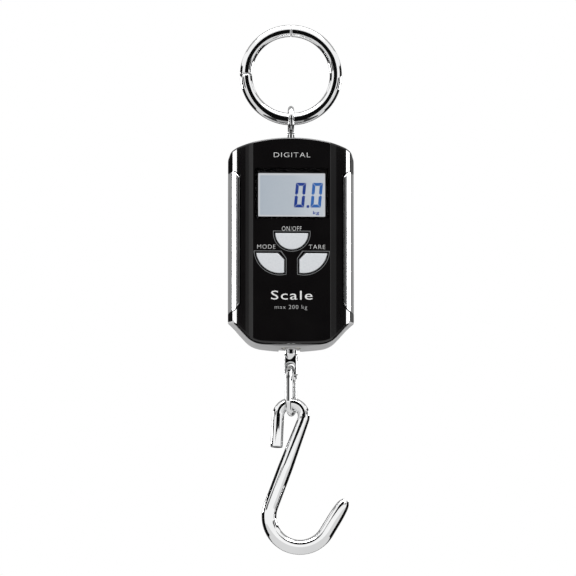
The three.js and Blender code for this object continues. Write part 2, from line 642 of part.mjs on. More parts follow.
// Circuit board with its chips, and a switch and a button for each key.
function addBoardAndKeys(unit) {
  let board = box(-BOARD_HALF, BOARD_HALF, BOARD_FRONT_Y, BOARD_BACK_Y, BOARD_BOTTOM, BOARD_TOP);
  for (const [x, z] of BOARD_SCREWS) {
    board = board.subtract(barY(BOARD_SCREW_R + GAP, -10, -5, x, z, 10));
  }
  addPiece(unit, 'main_board', board, BOARD_GREEN());
  const chipHalf = 0.7;
  const chipY = BOARD_BACK_Y + GAP + chipHalf;
  const controller = box(-5, 5, -chipHalf, chipHalf, -5, 5);
  const converter = box(-2.5, 2.5, -chipHalf, chipHalf, -4, 4);
  addPiece(unit, 'controller_chip', controller, CHIP_BLACK(), [0, chipY, -76]);
  addPiece(unit, 'converter_chip', converter, CHIP_BLACK(), [-11, chipY, -76]);
  const switchBack = BOARD_FRONT_Y - GAP;
  const switchFront = switchBack - SWITCH_THICK;
  for (const key of KEYS) {
    const tactile = join(
      box(-SWITCH_HALF, SWITCH_HALF, switchFront, switchBack, -SWITCH_HALF, SWITCH_HALF),
      barY(1.5, switchFront - 0.6, switchBack - 0.7, 0, 0, 12),
    );
    addPiece(unit, `${key.name}_switch`, tactile, CHIP_BLACK(), [key.x, 0, key.z]);
    const cap = join(
      prismY(key.outline(0), BUTTON_FACE_Y, -11.5, 8),
      prismY(key.outline(KEY_LIP), -11.7, -11.4, 8),
    );
    addPiece(unit, `${key.name}_button`, cap, SILVER_KEY());
  }
}

// Two cells side by side, opposite ways up, with a spring at one end and a plate at the other.
function addBatteries(unit) {
  const battery = lathe([
    [0, 0], [4.6, 0], [BATTERY_R, 0.4], [BATTERY_R, BATTERY_LENGTH - 0.6], [4.6, BATTERY_LENGTH - 0.2],
    [1.9, BATTERY_LENGTH - 0.2], [1.9, BATTERY_LENGTH + 0.8], [0, BATTERY_LENGTH + 0.8],
  ], 20);
  const plate = box(-4.5, 4.5, -4.5, 4.5, 0, CONTACT_THICK);
  const floor = BAY_BOTTOM + GAP;
  const ceiling = BAY_TOP - GAP;
  const bays = [{ side: 'left', x: -BATTERY_X, up: true }, { side: 'right', x: BATTERY_X, up: false }];
  for (const { side, x, up } of bays) {
    const turn = up ? [0, 0, 0] : [Math.PI, 0, 0];
    const base = up ? floor : ceiling;
    const sign = up ? 1 : -1;
    addPiece(unit, `battery_${side}`, battery, CELL_SLEEVE(), [x, BATTERY_Y, base + sign * 2.1], turn);
    const coil = spring(1.6, 3.4, 2.2, 2, 0.25);
    addPiece(unit, `battery_spring_${side}`, coil, STEEL(), [x, BATTERY_Y, base], turn);
    const far = up ? ceiling - CONTACT_THICK : floor;
    addPiece(unit, `battery_contact_${side}`, plate, STEEL(), [x, BATTERY_Y, far]);
  }
}

// The battery door has two tongues that hook under the shell at its lower edge.
function addDoor(unit) {
  const tongue = join(
    box(TAB_IN, TAB_OUT, TAB_FRONT_Y, TAB_FRONT_Y + 0.8, DOOR_BOTTOM - 2.2, DOOR_BOTTOM + 4),
    box(TAB_IN, TAB_OUT, TAB_FRONT_Y, REAR_Y - 1, DOOR_BOTTOM + 1, DOOR_BOTTOM + 4),
  );
  const fingerDip = [[-4, DOOR_TOP - 3], [-5, DOOR_TOP + 1], [5, DOOR_TOP + 1], [4, DOOR_TOP - 3]];
  const door = cut(
    join(
      box(-DOOR_HALF, DOOR_HALF, REAR_Y - DOOR_THICK, REAR_Y, DOOR_BOTTOM, DOOR_TOP),
      tongue,
      tongue.mirror([1, 0, 0]),
    ),
    prismY(shapeOf(fingerDip), REAR_Y - 0.8, REAR_Y + 1),
  );
  addPiece(unit, 'battery_door', door, GREY_SHELL());
}

function addScrews(unit) {
  const caseScrew = lathe([
    [0, -15], [CASE_SCREW_R, -14.6], [CASE_SCREW_R, -1.6], [CASE_HEAD_R, -1.4],
    [CASE_HEAD_R, -0.2], [1.2, 0], [0, -0.3],
  ], 12);
  CASE_SCREWS.forEach(([x, z], i) => {
    addPiece(unit, `case_screw_${i + 1}`, caseScrew, STEEL(), [x, REAR_Y - 0.3, z], [-Math.PI / 2, 0, 0]);
  });
  const boardScrew = lathe([
    [0, -4.2], [BOARD_SCREW_R, -4], [BOARD_SCREW_R, 0], [1.8, 0], [1.8, 0.5], [0, 0.5],
  ], 12);
  BOARD_SCREWS.forEach(([x, z], i) => {
    const place = [x, BOARD_BACK_Y + GAP, z];
    addPiece(unit, `board_screw_${i + 1}`, boardScrew, STEEL(), place, [-Math.PI / 2, 0, 0]);
  });
}

function buildScaleUnit() {
  const unit = new THREE.Group();
  unit.position.z = HOUSING_TOP_Z;
  addPiece(unit, 'front_cover', buildFrontCover(), BLACK_GLOSS());
  addPiece(unit, 'rear_shell', buildRearShell(), GREY_SHELL());
  addPiece(unit, 'side_trim_left', trim(-1), CHROME());
  addPiece(unit, 'side_trim_right', trim(1), CHROME());
  addHangingBolt(unit);
  addLoadCell(unit);
  addYoke(unit);
  addDisplay(unit);
  addBoardAndKeys(unit);
  addBatteries(unit);
  addDoor(unit);
  addScrews(unit);
  return unit;
}

// ---------------------------------------------------------------- bottom rod, link and hook

// The rod and the link share the same rest turn about Z. The rod ends in a flattened head with a hole
// across it.
function buildSwivel() {
  const swivel = new THREE.Group();
  swivel.position.z = ROD_HOLE_Z;
  swivel.rotation.z = YAW;
  const washerTop = YOKE_TOP - YOKE_HEIGHT + YOKE_WALL + GAP + WASHER_THICK;
  const nutSeat = HOUSING_TOP_Z + washerTop + GAP - ROD_HOLE_Z;
  const head = join(
    barY(ROD_HEAD_R, -ROD_HEAD_HALF, ROD_HEAD_HALF, 0, 0, 20),
    box(-ROD_R, ROD_R, -ROD_HEAD_HALF, ROD_HEAD_HALF, 0, ROD_FLATS_TOP),
  ).intersect(barZ(3.4, -10, 10, 0, 0, 24));
  const rod = cut(
    join(head, barZ(ROD_R, ROD_FLATS_TOP - 0.5, nutSeat + 4.2, 0, 0, 20)),
    barY(ROD_HOLE_R, -9, 9, 0, 0, 20),
  );
  addPiece(swivel, 'bottom_rod', rod, CHROME());
  const nut = cut(barZ(5.4, 0, 4, 0, 0, 6), barZ(ROD_R + GAP, -1, 6, 0, 0, 20));
  addPiece(swivel, 'rod_nut', nut, STEEL(), [0, 0, nutSeat]);

  // A hoop whose upper and lower halves are drawn apart makes the link's straight legs.
  const segments = 24;
  const hoop = new THREE.TorusGeometry(LINK_R, LINK_WIRE_R, 8, segments).rotateZ(Math.PI / segments);
  const places = hoop.attributes.position;
  const pull = (LINK_TOP_Z - LINK_BOTTOM_Z) / 2 - LINK_R;
  for (let i = 0; i < places.count; i += 1) {
    places.setY(i, places.getY(i) + Math.sign(places.getY(i)) * pull);
  }
  const standing = hoop.rotateX(Math.PI / 2).rotateZ(Math.PI / 2);
  const linkZ = (LINK_TOP_Z + LINK_BOTTOM_Z) / 2 - ROD_HOLE_Z;
  addPiece(swivel, 'link', solid(standing), CHROME(), [0, 0, linkZ]);
  return swivel;
}

// A round bar that starts at a point and leans from +Z towards +X.
function leaningBar(start, lean, profile) {
  const last = profile[profile.length - 1];
  const bar = lathe([[0, profile[0][1]], ...profile, [0, last[1]]], 12);
  return bar.rotate([0, THREE.MathUtils.radToDeg(lean), 0]).translate([start.x, 0, start.z]);
}

// The S-hook, made about the top of its arch. The shank thickens towards the bowl.
function buildHook() {
  const archZ = -ARCH_R;
  const bowlZ = -BOWL_DROP;
  const apart = Math.hypot(BOWL_X, archZ - bowlZ);
  const shankLean = Math.asin((ARCH_R + BOWL_R) / apart) - Math.atan2(BOWL_X, archZ - bowlZ);
  const on = (x, z, r, angle) => new THREE.Vector3(x + r * Math.cos(angle), 0, z + r * Math.sin(angle));

  const legTop = on(0, archZ, ARCH_R, Math.PI - LEG_LEAN);
  const legWay = new THREE.Vector3(-Math.sin(LEG_LEAN), 0, -Math.cos(LEG_LEAN));
  const legEnd = legTop.clone().addScaledVector(legWay, LEG_LENGTH);
  const shankTop = on(0, archZ, ARCH_R, -shankLean);
  const shankEnd = on(BOWL_X, bowlZ, BOWL_R, Math.PI - shankLean);
  const leg = new THREE.CurvePath();
  leg.add(new THREE.LineCurve3(legEnd, legTop));
  leg.add(new PlaneArc(0, archZ, ARCH_R, Math.PI - LEG_LEAN, -shankLean));
  const bowl = new PlaneArc(BOWL_X, bowlZ, BOWL_R, Math.PI - shankLean, 2 * Math.PI - TIP_ANGLE);
  const shankWay = shankTop.clone().sub(shankEnd);
  const lap = 0.2;
  const shank = leaningBar(shankEnd, Math.atan2(shankWay.x, shankWay.z), [
    [BOWL_WIRE_R, -lap], [BOWL_WIRE_R, shankWay.length() * 0.45], [HOOK_WIRE_R, shankWay.length() + lap],
  ]);
  const tip = leaningBar(on(BOWL_X, bowlZ, BOWL_R, -TIP_ANGLE), TIP_ANGLE, TIP_PROFILE);
  const body = join(sweep(leg, HOOK_WIRE_R, 36, 12), shank, sweep(bowl, BOWL_WIRE_R, 32, 12), tip);
  const hook = new THREE.Group();
  hook.position.z = HOOK_Z;
  addPiece(hook, 'hook', body, CHROME());
  return hook;
}

// ---------------------------------------------------------------- assembly

const scale = new THREE.Group();
scale.add(buildRing());
scale.add(buildScaleUnit());
scale.add(buildSwivel());
scale.add(buildHook());

export default scale;
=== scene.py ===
"""A digital hanging scale: ring with a hinged quarter, weighing unit, swivelling link and S-hook.

Shapes are worked out in millimetres in the frame's own axes (+Z up, display towards -Y) and put into
the scene in metres. Heights inside the weighing unit are counted down from the housing's top edge.
"""

import json
import math

import bmesh
import bpy
from mathutils import Matrix, Vector


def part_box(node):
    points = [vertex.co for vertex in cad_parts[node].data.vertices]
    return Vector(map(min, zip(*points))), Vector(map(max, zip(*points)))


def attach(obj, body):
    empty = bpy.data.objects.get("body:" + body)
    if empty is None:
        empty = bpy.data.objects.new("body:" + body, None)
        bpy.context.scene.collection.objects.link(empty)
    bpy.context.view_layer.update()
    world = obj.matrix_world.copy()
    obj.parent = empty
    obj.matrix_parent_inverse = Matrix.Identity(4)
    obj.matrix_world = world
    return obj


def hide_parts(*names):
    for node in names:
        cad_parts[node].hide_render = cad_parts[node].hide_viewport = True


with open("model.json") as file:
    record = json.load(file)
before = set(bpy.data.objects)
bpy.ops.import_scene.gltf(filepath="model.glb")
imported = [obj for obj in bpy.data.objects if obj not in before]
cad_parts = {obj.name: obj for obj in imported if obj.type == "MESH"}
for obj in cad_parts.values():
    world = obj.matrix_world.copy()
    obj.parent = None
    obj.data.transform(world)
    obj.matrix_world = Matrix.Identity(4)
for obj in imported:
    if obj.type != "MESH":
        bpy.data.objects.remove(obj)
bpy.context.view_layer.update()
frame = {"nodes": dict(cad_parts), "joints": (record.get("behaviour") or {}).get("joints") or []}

MM = 0.001

# ---------------- sizes taken from the frame


def corners(*nodes):
    """Lowest and highest corner of some CAD nodes together, in millimetres."""
    boxes = [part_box(node) for node in nodes]
    low = Vector([min(b[0][i] for b in boxes) for i in range(3)]) / MM
    high = Vector([max(b[1][i] for b in boxes) for i in range(3)]) / MM
    return low, high


RING_LOW, RING_HIGH = corners("ring_body")
WIRE_R = RING_HIGH.y
RING_R = RING_HIGH.x - WIRE_R
RING_Z = RING_LOW.z + RING_HIGH.x

EYE_LOW, EYE_HIGH = corners("top_eye_bolt")
HOUSING_LOW, HOUSING_HIGH = corners("front_cover", "rear_shell")
TOP_Z = HOUSING_HIGH.z
HALF_WIDTH = HOUSING_HIGH.x
FRONT_Y = HOUSING_LOW.y
REAR_Y = HOUSING_HIGH.y
PARTING_Y = corners("front_cover")[1].y

JOINT_Z = {joint["name"]: joint["pos_m"][2] / MM for joint in frame["joints"] if "pos_m" in joint}
LINK_FOOT_Z = corners("link")[0].z
ROD_TOP_Z = corners("bottom_rod")[1].z
DOOR_LOW, DOOR_HIGH = corners("battery_door")
LENS_LOW, LENS_HIGH = corners("display_lens")
PANEL_LOW, PANEL_HIGH = corners("lcd_panel")

# ---------------- driving sizes of the fine shapes

GAP = 0.3
WALL = 2.0
PAST = 5.0  # how far a long cutter reaches past a face
CLEAR = 1.0  # how far a short one does

HOUSING_HEIGHT = 105.9
PANEL_HALF = 19.4  # half width of the flat front panel
CROWN_R = 84.0  # arch of the housing's top edge
CROWN_HALF = 28.6  # half the width that the arch spans
WIDEST_Y = 1.5
FRONT_EDGE_R = 1.0
REAR_EDGE_R = 2.0
BOTTOM_SAG = 0.8  # the rear shell's lip hangs lower in the middle
NECK_HOLE_R = 2.9
STEM_HOLE_R = 5.0

PLAN_FRONT = [
    (0, FRONT_Y), (PANEL_HALF, FRONT_Y), (23.6, -12.45), (27.6, -10.3), (29.9, -6), (HALF_WIDTH, WIDEST_Y),
]
PLAN_REAR = [(0, REAR_Y), (27, REAR_Y), (29.6, 9.8), (31.2, 6), (HALF_WIDTH, WIDEST_Y)]

TRIM_TOP = -16.7
TRIM_BOTTOM = -88.3
TRIM_FRONT_Y = -11.4
TRIM_REAR_Y = 8.4
TRIM_CORNER_R = 4.5
TRIM_THICK = 1.0
TRIM_PLAN = [(26.5, -11.35), (28.1, -10.5), (30.1, -6.75), (32.05, 1.5), (31.3, 6), (30.25, TRIM_REAR_Y)]

WINDOW_HALF = 17.0
WINDOW_TOP = -18.3
WINDOW_BOTTOM = -40.7

KEY_FACE_Y = -14.3
KEY_BACK_Y = -11.4
KEY_RECESS = 1.2  # margin of the shallow recess round each key
POWER_TOP = -49.4
POWER_R = 8.3
SIDE_KEY_TOP = -59.7
SIDE_KEY_ARC = (6.1, -57.9, 12.0)
SIDE_KEY_INNER = 3.9
SIDE_KEY_CHAMFER = 3.2

WELL_TOP, WELL_BOTTOM = -46.5, -94.4  # the two wells that hold the cells
WELL_INNER, WELL_OUTER = 13.8, 25.2
WELL_FLOOR_Y = -0.6
WELL_WALL = 1.0
DOOR_TOP, DOOR_BOTTOM = -47.1, -94.6
DOOR_THICK = 1.6
CASE_SCREWS = [(-23.5, -10), (23.5, -10), (-19, -98.8), (19, -98.8)]

ROD_YAW = math.radians(-16.5)
ROD_R = 3.2
ROD_HOLE_Z = -171.1
ROD_JOINT_Z = TOP_Z - 103.6  # where the forged end meets the plain shank
LINK_WIRE_R = 1.5
LINK_R = 5.7

# ---------------- small geometry tools


def rounded_corner(before, corner, after, reach, steps):
    """Points of a curve that rounds a corner off, starting up to reach before it."""
    before, corner, after = Vector(before), Vector(corner), Vector(after)
    back = (before - corner) * min(0.45, reach / (before - corner).length)
    ahead = (after - corner) * min(0.45, reach / (after - corner).length)
    return [corner + back * (1 - i / steps) ** 2 + ahead * (i / steps) ** 2 for i in range(steps + 1)]


def smooth_line(points, reach, steps=6):
    """The open polyline with its inner corners rounded; reach is one for all, or a list with one for each."""
    reaches = reach if isinstance(reach, list) else [reach] * (len(points) - 2)
    line = [Vector(points[0])]
    for before, corner, after, back in zip(points, points[1:], points[2:], reaches):
        line += rounded_corner(before, corner, after, back, steps)
    return line + [Vector(points[-1])]


def rounded_outline(points, reach, steps=5):
    """A closed outline with every corner rounded."""
    outline = []
    for i, corner in enumerate(points):
        outline += rounded_corner(points[i - 1], corner, points[(i + 1) % len(points)], reach, steps)
    return outline


def height_at(line, x):
    """Second coordinate of a polyline whose first one grows, at x."""
    for a, b in zip(line, line[1:]):
        if x <= b[0] + 1e-9:
            run = b[0] - a[0]
            return a[1] if run < 1e-9 else a[1] + (b[1] - a[1]) * (x - a[0]) / run
    return line[-1][1]


def arc(x, z, r, start, end, steps):
    """Points of an arc; angles in degrees from +X towards +Z."""
    turns = [math.radians(start + (end - start) * i / steps) for i in range(steps + 1)]
    return [(x + r * math.cos(a), z + r * math.sin(a)) for a in turns]


def lowered(outline):
    """An outline whose heights are counted from the housing's top edge, put into the frame."""
    return [(x, TOP_Z + z) for x, z in outline]


def add_object(name, data):
    thing = bpy.data.objects.new(name, data)
    bpy.context.scene.collection.objects.link(thing)
    return thing


def new_piece(name, verts, faces):
    """A mesh object from millimetre points, with doubled points merged and faces turned outwards."""
    mesh = bpy.data.meshes.new(name)
    mesh.from_pydata([Vector(v) * MM for v in verts], [], faces)
    body = bmesh.new()
    body.from_mesh(mesh)
    bmesh.ops.remove_doubles(body, verts=body.verts, dist=1e-7)
    bmesh.ops.dissolve_degenerate(body, edges=body.edges, dist=1e-8)
    bmesh.ops.recalc_face_normals(body, faces=body.faces)
    body.to_mesh(mesh)
    body.free()
    return add_object(name, mesh)


def loft(name, loops, closed=False):
    """Skin through loops of equal length: closed joins the last loop to the first, or both get a cap."""
    width = len(loops[0])
    verts = [point for loop in loops for point in loop]
    faces = []
    for row in range(len(loops) if closed else len(loops) - 1):
        a, b = row * width, ((row + 1) % len(loops)) * width
        for i in range(width):
            j = (i + 1) % width
            faces.append((a + i, a + j, b + j, b + i))
    if not closed:
        faces.append(tuple(reversed(range(width))))
        faces.append(tuple(range(len(verts) - width, len(verts))))
    return new_piece(name, verts, faces)


def prism(outline, axis, low, high, name="cutter"):
    """A prism along X, Y or Z: the outline is in (y, z), (x, z) or (x, y)."""
    place = {
        "X": lambda a, b, c: (c, a, b),
        "Y": lambda a, b, c: (a, c, b),
        "Z": lambda a, b, c: (a, b, c),
    }[axis]
    return loft(name, [[place(p[0], p[1], level) for p in outline] for level in (low, high)])


def block(x0, x1, y0, y1, z0, z1, corner=0.0, name="cutter"):
    """A box, with its four edges along Y rounded when corner is given."""
    outline = [(x0, z0), (x1, z0), (x1, z1), (x0, z1)]
    if corner:
        outline = rounded_outline(outline, corner)
    return prism(outline, "Y", y0, y1, name)


def turned(profile, sides=48, name="cutter", axis="Z", centre=(0, 0, 0)):
    """A solid of revolution from (radius, height) points that start and end on the axis."""
    loops = []
    for r, h in profile:
        ring = []
        for i in range(sides):
            a = 2 * math.pi * i / sides
            u, v = max(r, 1e-4) * math.cos(a), max(r, 1e-4) * math.sin(a)
            local = (u, v, h) if axis == "Z" else (u, h, v)
            ring.append(Vector(local) + Vector(centre))
        loops.append(ring)
    return loft(name, loops)


def cylinder(r, low, high, sides=48, name="cutter", axis="Z", centre=(0, 0, 0)):
    return turned([(0, low), (r, low), (r, high), (0, high)], sides, name, axis, centre)


def settle(piece):
    """Applies a piece's modifiers to its mesh."""
    graph = bpy.context.evaluated_depsgraph_get()
    mesh = bpy.data.meshes.new_from_object(piece.evaluated_get(graph))
    old = piece.data
    piece.modifiers.clear()
    piece.data = mesh
    bpy.data.meshes.remove(old)
    return piece


def combine(piece, others, operation="DIFFERENCE"):
    """Cuts, joins or intersects a piece with others, which are used up."""
    for other in others:
        step = piece.modifiers.new("combine", "BOOLEAN")
        step.operation = operation
        step.solver = "MANIFOLD"
        step.object = other
        settle(piece)
        bpy.data.objects.remove(other)
    return piece


def soften(piece, width, segments, angle):
    """Small rounded edges wherever two faces meet at more than angle."""
    edge = piece.modifiers.new("edges", "BEVEL")
    edge.width = width * MM
    edge.segments = segments
    edge.limit_method = "ANGLE"
    edge.angle_limit = math.radians(angle)
    edge.use_clamp_overlap = True
    return settle(piece)


def shade(piece, angle):
    """Smooth shading with sharp edges above angle, and flat faces kept flat."""
    piece.data.shade_smooth()
    piece.data.set_sharp_from_angle(angle=math.radians(angle))
    even = piece.modifiers.new("even", "WEIGHTED_NORMAL")
    even.keep_sharp = True
    even.weight = 100
    return settle(piece)


def forge(piece, smoothing, voxel=0.13):
    """Joins overlapping volumes into one even skin and blends where they meet."""
    skin = piece.modifiers.new("skin", "REMESH")
    skin.mode = "VOXEL"
    skin.voxel_size = voxel * MM
    settle(piece)
    relax = piece.modifiers.new("relax", "SMOOTH")
    relax.factor = 0.5
    relax.iterations = smoothing
    settle(piece)
    piece.data.shade_smooth()
    return piece


def tube(name, path, radii, sides, closed=False):
    """A round bar along a path in the XZ plane, given as (x, z) points with a radius for each."""
    loops = []
    count = len(path)
    for i, (x, z) in enumerate(path):
        before = path[(i - 1) % count if closed else max(i - 1, 0)]
        after = path[(i + 1) % count if closed else min(i + 1, count - 1)]
        along = Vector((after[0] - before[0], after[1] - before[1])).normalized()
        out = Vector((along.y, -along.x))
        loop = []
        for k in range(sides):
            a = 2 * math.pi * k / sides
            reach = radii[i] * math.cos(a)
            loop.append((x + out.x * reach, radii[i] * math.sin(a), z + out.y * reach))
        loops.append(loop)
    return loft(name, loops, closed)


def rounded_end(edge, steps=6):
    """(distance from the end, radius loss) pairs of a bar's end with a rounded edge."""
    angles = [math.pi / 2 * i / steps for i in range(steps + 1)]
    return [(edge * (1 - math.cos(a)), edge * (1 - math.sin(a))) for a in angles]


def finish_piece(piece, finish, replaced=(), body="scale_unit", smooth=None):
    """Gives a piece its shading, finish and body, and hides the CAD nodes that it stands for."""
    if smooth:
        shade(piece, smooth)
    piece.data.materials.clear()
    piece.data.materials.append(LOOKS[finish])
    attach(piece, body)
    if replaced:
        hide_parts(*replaced)


# ---------------- materials


def feed(tree, node, inputs):
    """Fills a node's inputs: another node's output is linked, anything else is the input's own value."""
    for name, value in inputs.items():
        if isinstance(value, bpy.types.NodeSocket):
            tree.links.new(value, node.inputs[name])
        else:
            node.inputs[name].default_value = value


def add_node(tree, kind, inputs):
    node = tree.nodes.new("ShaderNode" + kind)
    feed(tree, node, inputs)
    return node


def even_material(name, inputs):
    """A Principled material that is the same all over."""
    material = bpy.data.materials.new(name)
    material.use_nodes = True
    feed(material.node_tree, material.node_tree.nodes["Principled BSDF"], inputs)
    return material


def base_material(name, metallic=0.0, ior=1.5, coat=0.0):
    """A Principled material with its node tree, shader and object coordinates."""
    material = even_material(name, {
        "Metallic": metallic, "IOR": ior, "Coat Weight": coat, "Coat Roughness": 0.04,
    })
    tree = material.node_tree
    place = tree.nodes.new("ShaderNodeTexCoord").outputs["Object"]
    return material, tree, tree.nodes["Principled BSDF"], place


def noise(tree, place, size_mm, detail=3.0, stretch=(1, 1, 1)):
    """Noise whose features are about size_mm across."""
    mapping = add_node(tree, "Mapping", {"Vector": place, "Scale": stretch})
    texture = add_node(tree, "TexNoise", {
        "Vector": mapping.outputs["Vector"], "Scale": 1 / (size_mm * MM), "Detail": detail,
    })
    return texture.outputs["Fac"]


def ramp(tree, value, stops):
    """A colour ramp through (position, colour) stops."""
    node = add_node(tree, "ValToRGB", {"Fac": value})
    elements = node.color_ramp.elements
    while len(elements) < len(stops):
        elements.new(0.5)
    for element, (position, colour) in zip(elements, stops):
        element.position = position
        element.color = (*colour, 1)
    return node.outputs["Color"]


def spread(tree, value, low, high, start=0.3, end=0.7):
    """Maps the stretch from start to end of a value onto low to high."""
    node = add_node(tree, "MapRange", {
        "Value": value, "From Min": start, "From Max": end, "To Min": low, "To Max": high,
    })
    return node.outputs["Result"]


def along(tree, place, axis, start_mm, end_mm):
    """How far a point lies from start to end along an axis, as 0 to 1."""
    coordinate = add_node(tree, "SeparateXYZ", {"Vector": place}).outputs[axis]
    return spread(tree, coordinate, 0, 1, start_mm * MM, end_mm * MM)


def bump(tree, shader, value, height_mm):
    """Raises the surface by the value, up to height_mm."""
    node = add_node(tree, "Bump", {"Height": value, "Distance": height_mm * MM})
    feed(tree, shader, {"Normal": node.outputs["Normal"]})


def grained(name, dark, light, rough, size_mm, height_mm,
            metallic=0.0, coat=0.0, stretch=(1, 1, 1), patch_mm=6.0):
    """A finish that drifts between two tones, with uneven gloss and a fine grain."""
    material, tree, shader, place = base_material(name, metallic, coat=coat)
    patches = noise(tree, place, patch_mm)
    grain = noise(tree, place, size_mm, 4.0, stretch)
    feed(tree, shader, {
        "Base Color": ramp(tree, patches, [(0.3, dark), (0.7, light)]),
        "Roughness": spread(tree, grain, *rough),
    })
    bump(tree, shader, grain, height_mm)
    return material


def grey(level, tint=(0, 0, 0)):
    return tuple(level + t for t in tint)


def make_materials():
    """Every finish of the object, by name."""
    return {
        "chrome": grained("mirror_chrome", grey(0.86, (0, 0.004, 0.008)), grey(0.92, (0, 0.002, 0.004)),
                          (0.03, 0.07), 1.8, 0.0006, metallic=1.0, patch_mm=9),
        "steel": grained("zinc_steel", grey(0.42), grey(0.58, (0, 0.005, 0.01)),
                         (0.24, 0.42), 0.5, 0.004, metallic=1.0, patch_mm=2),
        "aluminium": grained("machined_aluminium", grey(0.6), grey(0.7, (0, 0.005, 0.012)),
                             (0.28, 0.45), 0.25, 0.006, metallic=1.0, stretch=(0.08, 1, 1)),
        "brass": grained("turned_brass", (0.52, 0.33, 0.1), (0.68, 0.46, 0.17),
                         (0.2, 0.36), 0.4, 0.004, metallic=1.0),
        "black_cover": grained("gloss_black_cover", (0.0045, 0.004, 0.0043), (0.0062, 0.0056, 0.0058),
                               (0.05, 0.09), 0.35, 0.0003, patch_mm=14),
        "grey_shell": grained("grey_moulded_shell", (0.56, 0.56, 0.565), (0.62, 0.62, 0.622),
                              (0.4, 0.52), 0.22, 0.012, patch_mm=12),
        "silver_key": grained("silver_lacquered_key", (0.72, 0.745, 0.775), (0.79, 0.81, 0.835),
                              (0.3, 0.46), 0.16, 0.004, coat=0.3, patch_mm=1.1),
        "nylon": grained("natural_nylon", (0.7, 0.68, 0.6), (0.78, 0.76, 0.69), (0.42, 0.55), 0.3, 0.006),
        "rubber": grained("black_rubber", (0.012, 0.012, 0.014), (0.022, 0.022, 0.025),
                          (0.7, 0.85), 0.18, 0.012),
        "chip": grained("chip_epoxy", (0.01, 0.01, 0.011), (0.018, 0.018, 0.02), (0.5, 0.65), 0.1, 0.006),
        "print": grained("white_print", (0.8, 0.8, 0.79), (0.9, 0.9, 0.89),
                         (0.45, 0.6), 0.12, 0.003, patch_mm=1),
        "print_dim": grained("grey_print", grey(0.55), grey(0.65), (0.45, 0.6), 0.12, 0.003, patch_mm=1),
        # rim: a painted highlight, the grey that light catches on the edge of each key's recess
        "rim": grained("recess_edge_painted_highlight", (0.16, 0.165, 0.17), (0.22, 0.225, 0.23),
                       (0.3, 0.45), 0.3, 0.002, patch_mm=3),
        "diffuser": grained("milky_diffuser", (0.8, 0.83, 0.86), (0.88, 0.9, 0.92), (0.5, 0.62), 0.4, 0.004),
        "lcd_edge": glow_material("lcd_light_edge", (0.6, 0.62, 0.65), (0.64, 0.665, 0.69)),
        "segment": glow_material("lcd_segment_ink", (0.004, 0.03, 0.235), (0.008, 0.045, 0.29)),
        "segment_pale": glow_material("lcd_segment_ink_pale", (0.018, 0.1, 0.38), (0.03, 0.15, 0.46)),
        "lens": lens_material(),
        "lcd_glass": lcd_material(),
        "board": board_material(),
        "foil": foil_material(),
        "battery_sleeve": battery_material(),
    }


def lens_material():
    """Clear acrylic with faint dust and hairline marks."""
    material, tree, shader, place = base_material("clear_acrylic", ior=1.49)
    dust = noise(tree, place, 0.5, 5.0)
    feed(tree, shader, {
        "Base Color": ramp(tree, dust, [(0.4, grey(0.01)), (0.75, grey(0.03))]),
        "Roughness": spread(tree, dust, 0.02, 0.05),
        "Alpha": 0.08,
    })
    material.surface_render_method = "BLENDED"
    return material


def light_up(tree, shader, tone, strength, roughness):
    """Gives a dark surface a backlight of its own tone."""
    feed(tree, shader, {
        "Base Color": (0.02, 0.02, 0.022, 1), "Roughness": roughness,
        "Emission Color": tone, "Emission Strength": strength,
    })


def glow_material(name, low, high):
    """A backlit surface that keeps its own tone, slightly uneven."""
    material, tree, shader, place = base_material(name)
    tone = ramp(tree, noise(tree, place, 3.0), [(0.3, low), (0.7, high)])
    light_up(tree, shader, tone, 1.0, spread(tree, noise(tree, place, 0.6), 0.25, 0.4))
    return material


def lcd_material():
    """Backlit display glass: a cloudy grey-blue that grows a little lighter to the right."""
    material, tree, shader, place = base_material("lcd_glass")
    across = along(tree, place, "X", -WINDOW_HALF, WINDOW_HALF)
    cloud = noise(tree, place, 7.0, 2.0)
    blend = add_node(tree, "Math", {0: cloud, 1: 0.35, 2: across})
    blend.operation = "MULTIPLY_ADD"
    tone = ramp(tree, blend.outputs["Value"],
                [(0.1, (0.385, 0.435, 0.49)), (0.7, (0.43, 0.475, 0.525)), (1.0, (0.5, 0.54, 0.585))])
    light_up(tree, shader, tone, 1.18, spread(tree, cloud, 0.12, 0.2))
    return material


def board_material():
    """Green solder mask over a grid of copper tracks."""
    material, tree, shader, place = base_material("circuit_board")
    upright = add_node(tree, "Mapping", {"Vector": place, "Rotation": (math.pi / 2, 0, 0)})
    tracks = add_node(tree, "TexBrick", {
        "Vector": upright.outputs["Vector"], "Scale": 1.0,
        "Brick Width": 4.5 * MM, "Row Height": 1.3 * MM, "Mortar Size": 0.16 * MM,
        "Color1": (0.012, 0.085, 0.03, 1), "Color2": (0.016, 0.1, 0.036, 1), "Mortar": (0.03, 0.2, 0.07, 1),
    })
    feed(tree, shader, {
        "Base Color": tracks.outputs["Color"],
        "Roughness": spread(tree, noise(tree, place, 0.4), 0.3, 0.5),
    })
    bump(tree, shader, tracks.outputs["Fac"], 0.03)
    return material


def foil_material():
    """Strain gauge foil: fine copper lines across a polyimide carrier."""
    material, tree, shader, place = base_material("gauge_foil", metallic=0.3)
    wave = add_node(tree, "TexWave", {"Vector": place, "Scale": 0.3 / MM, "Distortion": 0.0})
    wave.bands_direction = "X"
    lines = wave.outputs["Fac"]
    feed(tree, shader, {
        "Base Color": ramp(tree, lines, [(0.4, (0.35, 0.17, 0.04)), (0.6, (0.7, 0.4, 0.15))]),
        "Roughness": spread(tree, lines, 0.3, 0.5),
    })
    return material


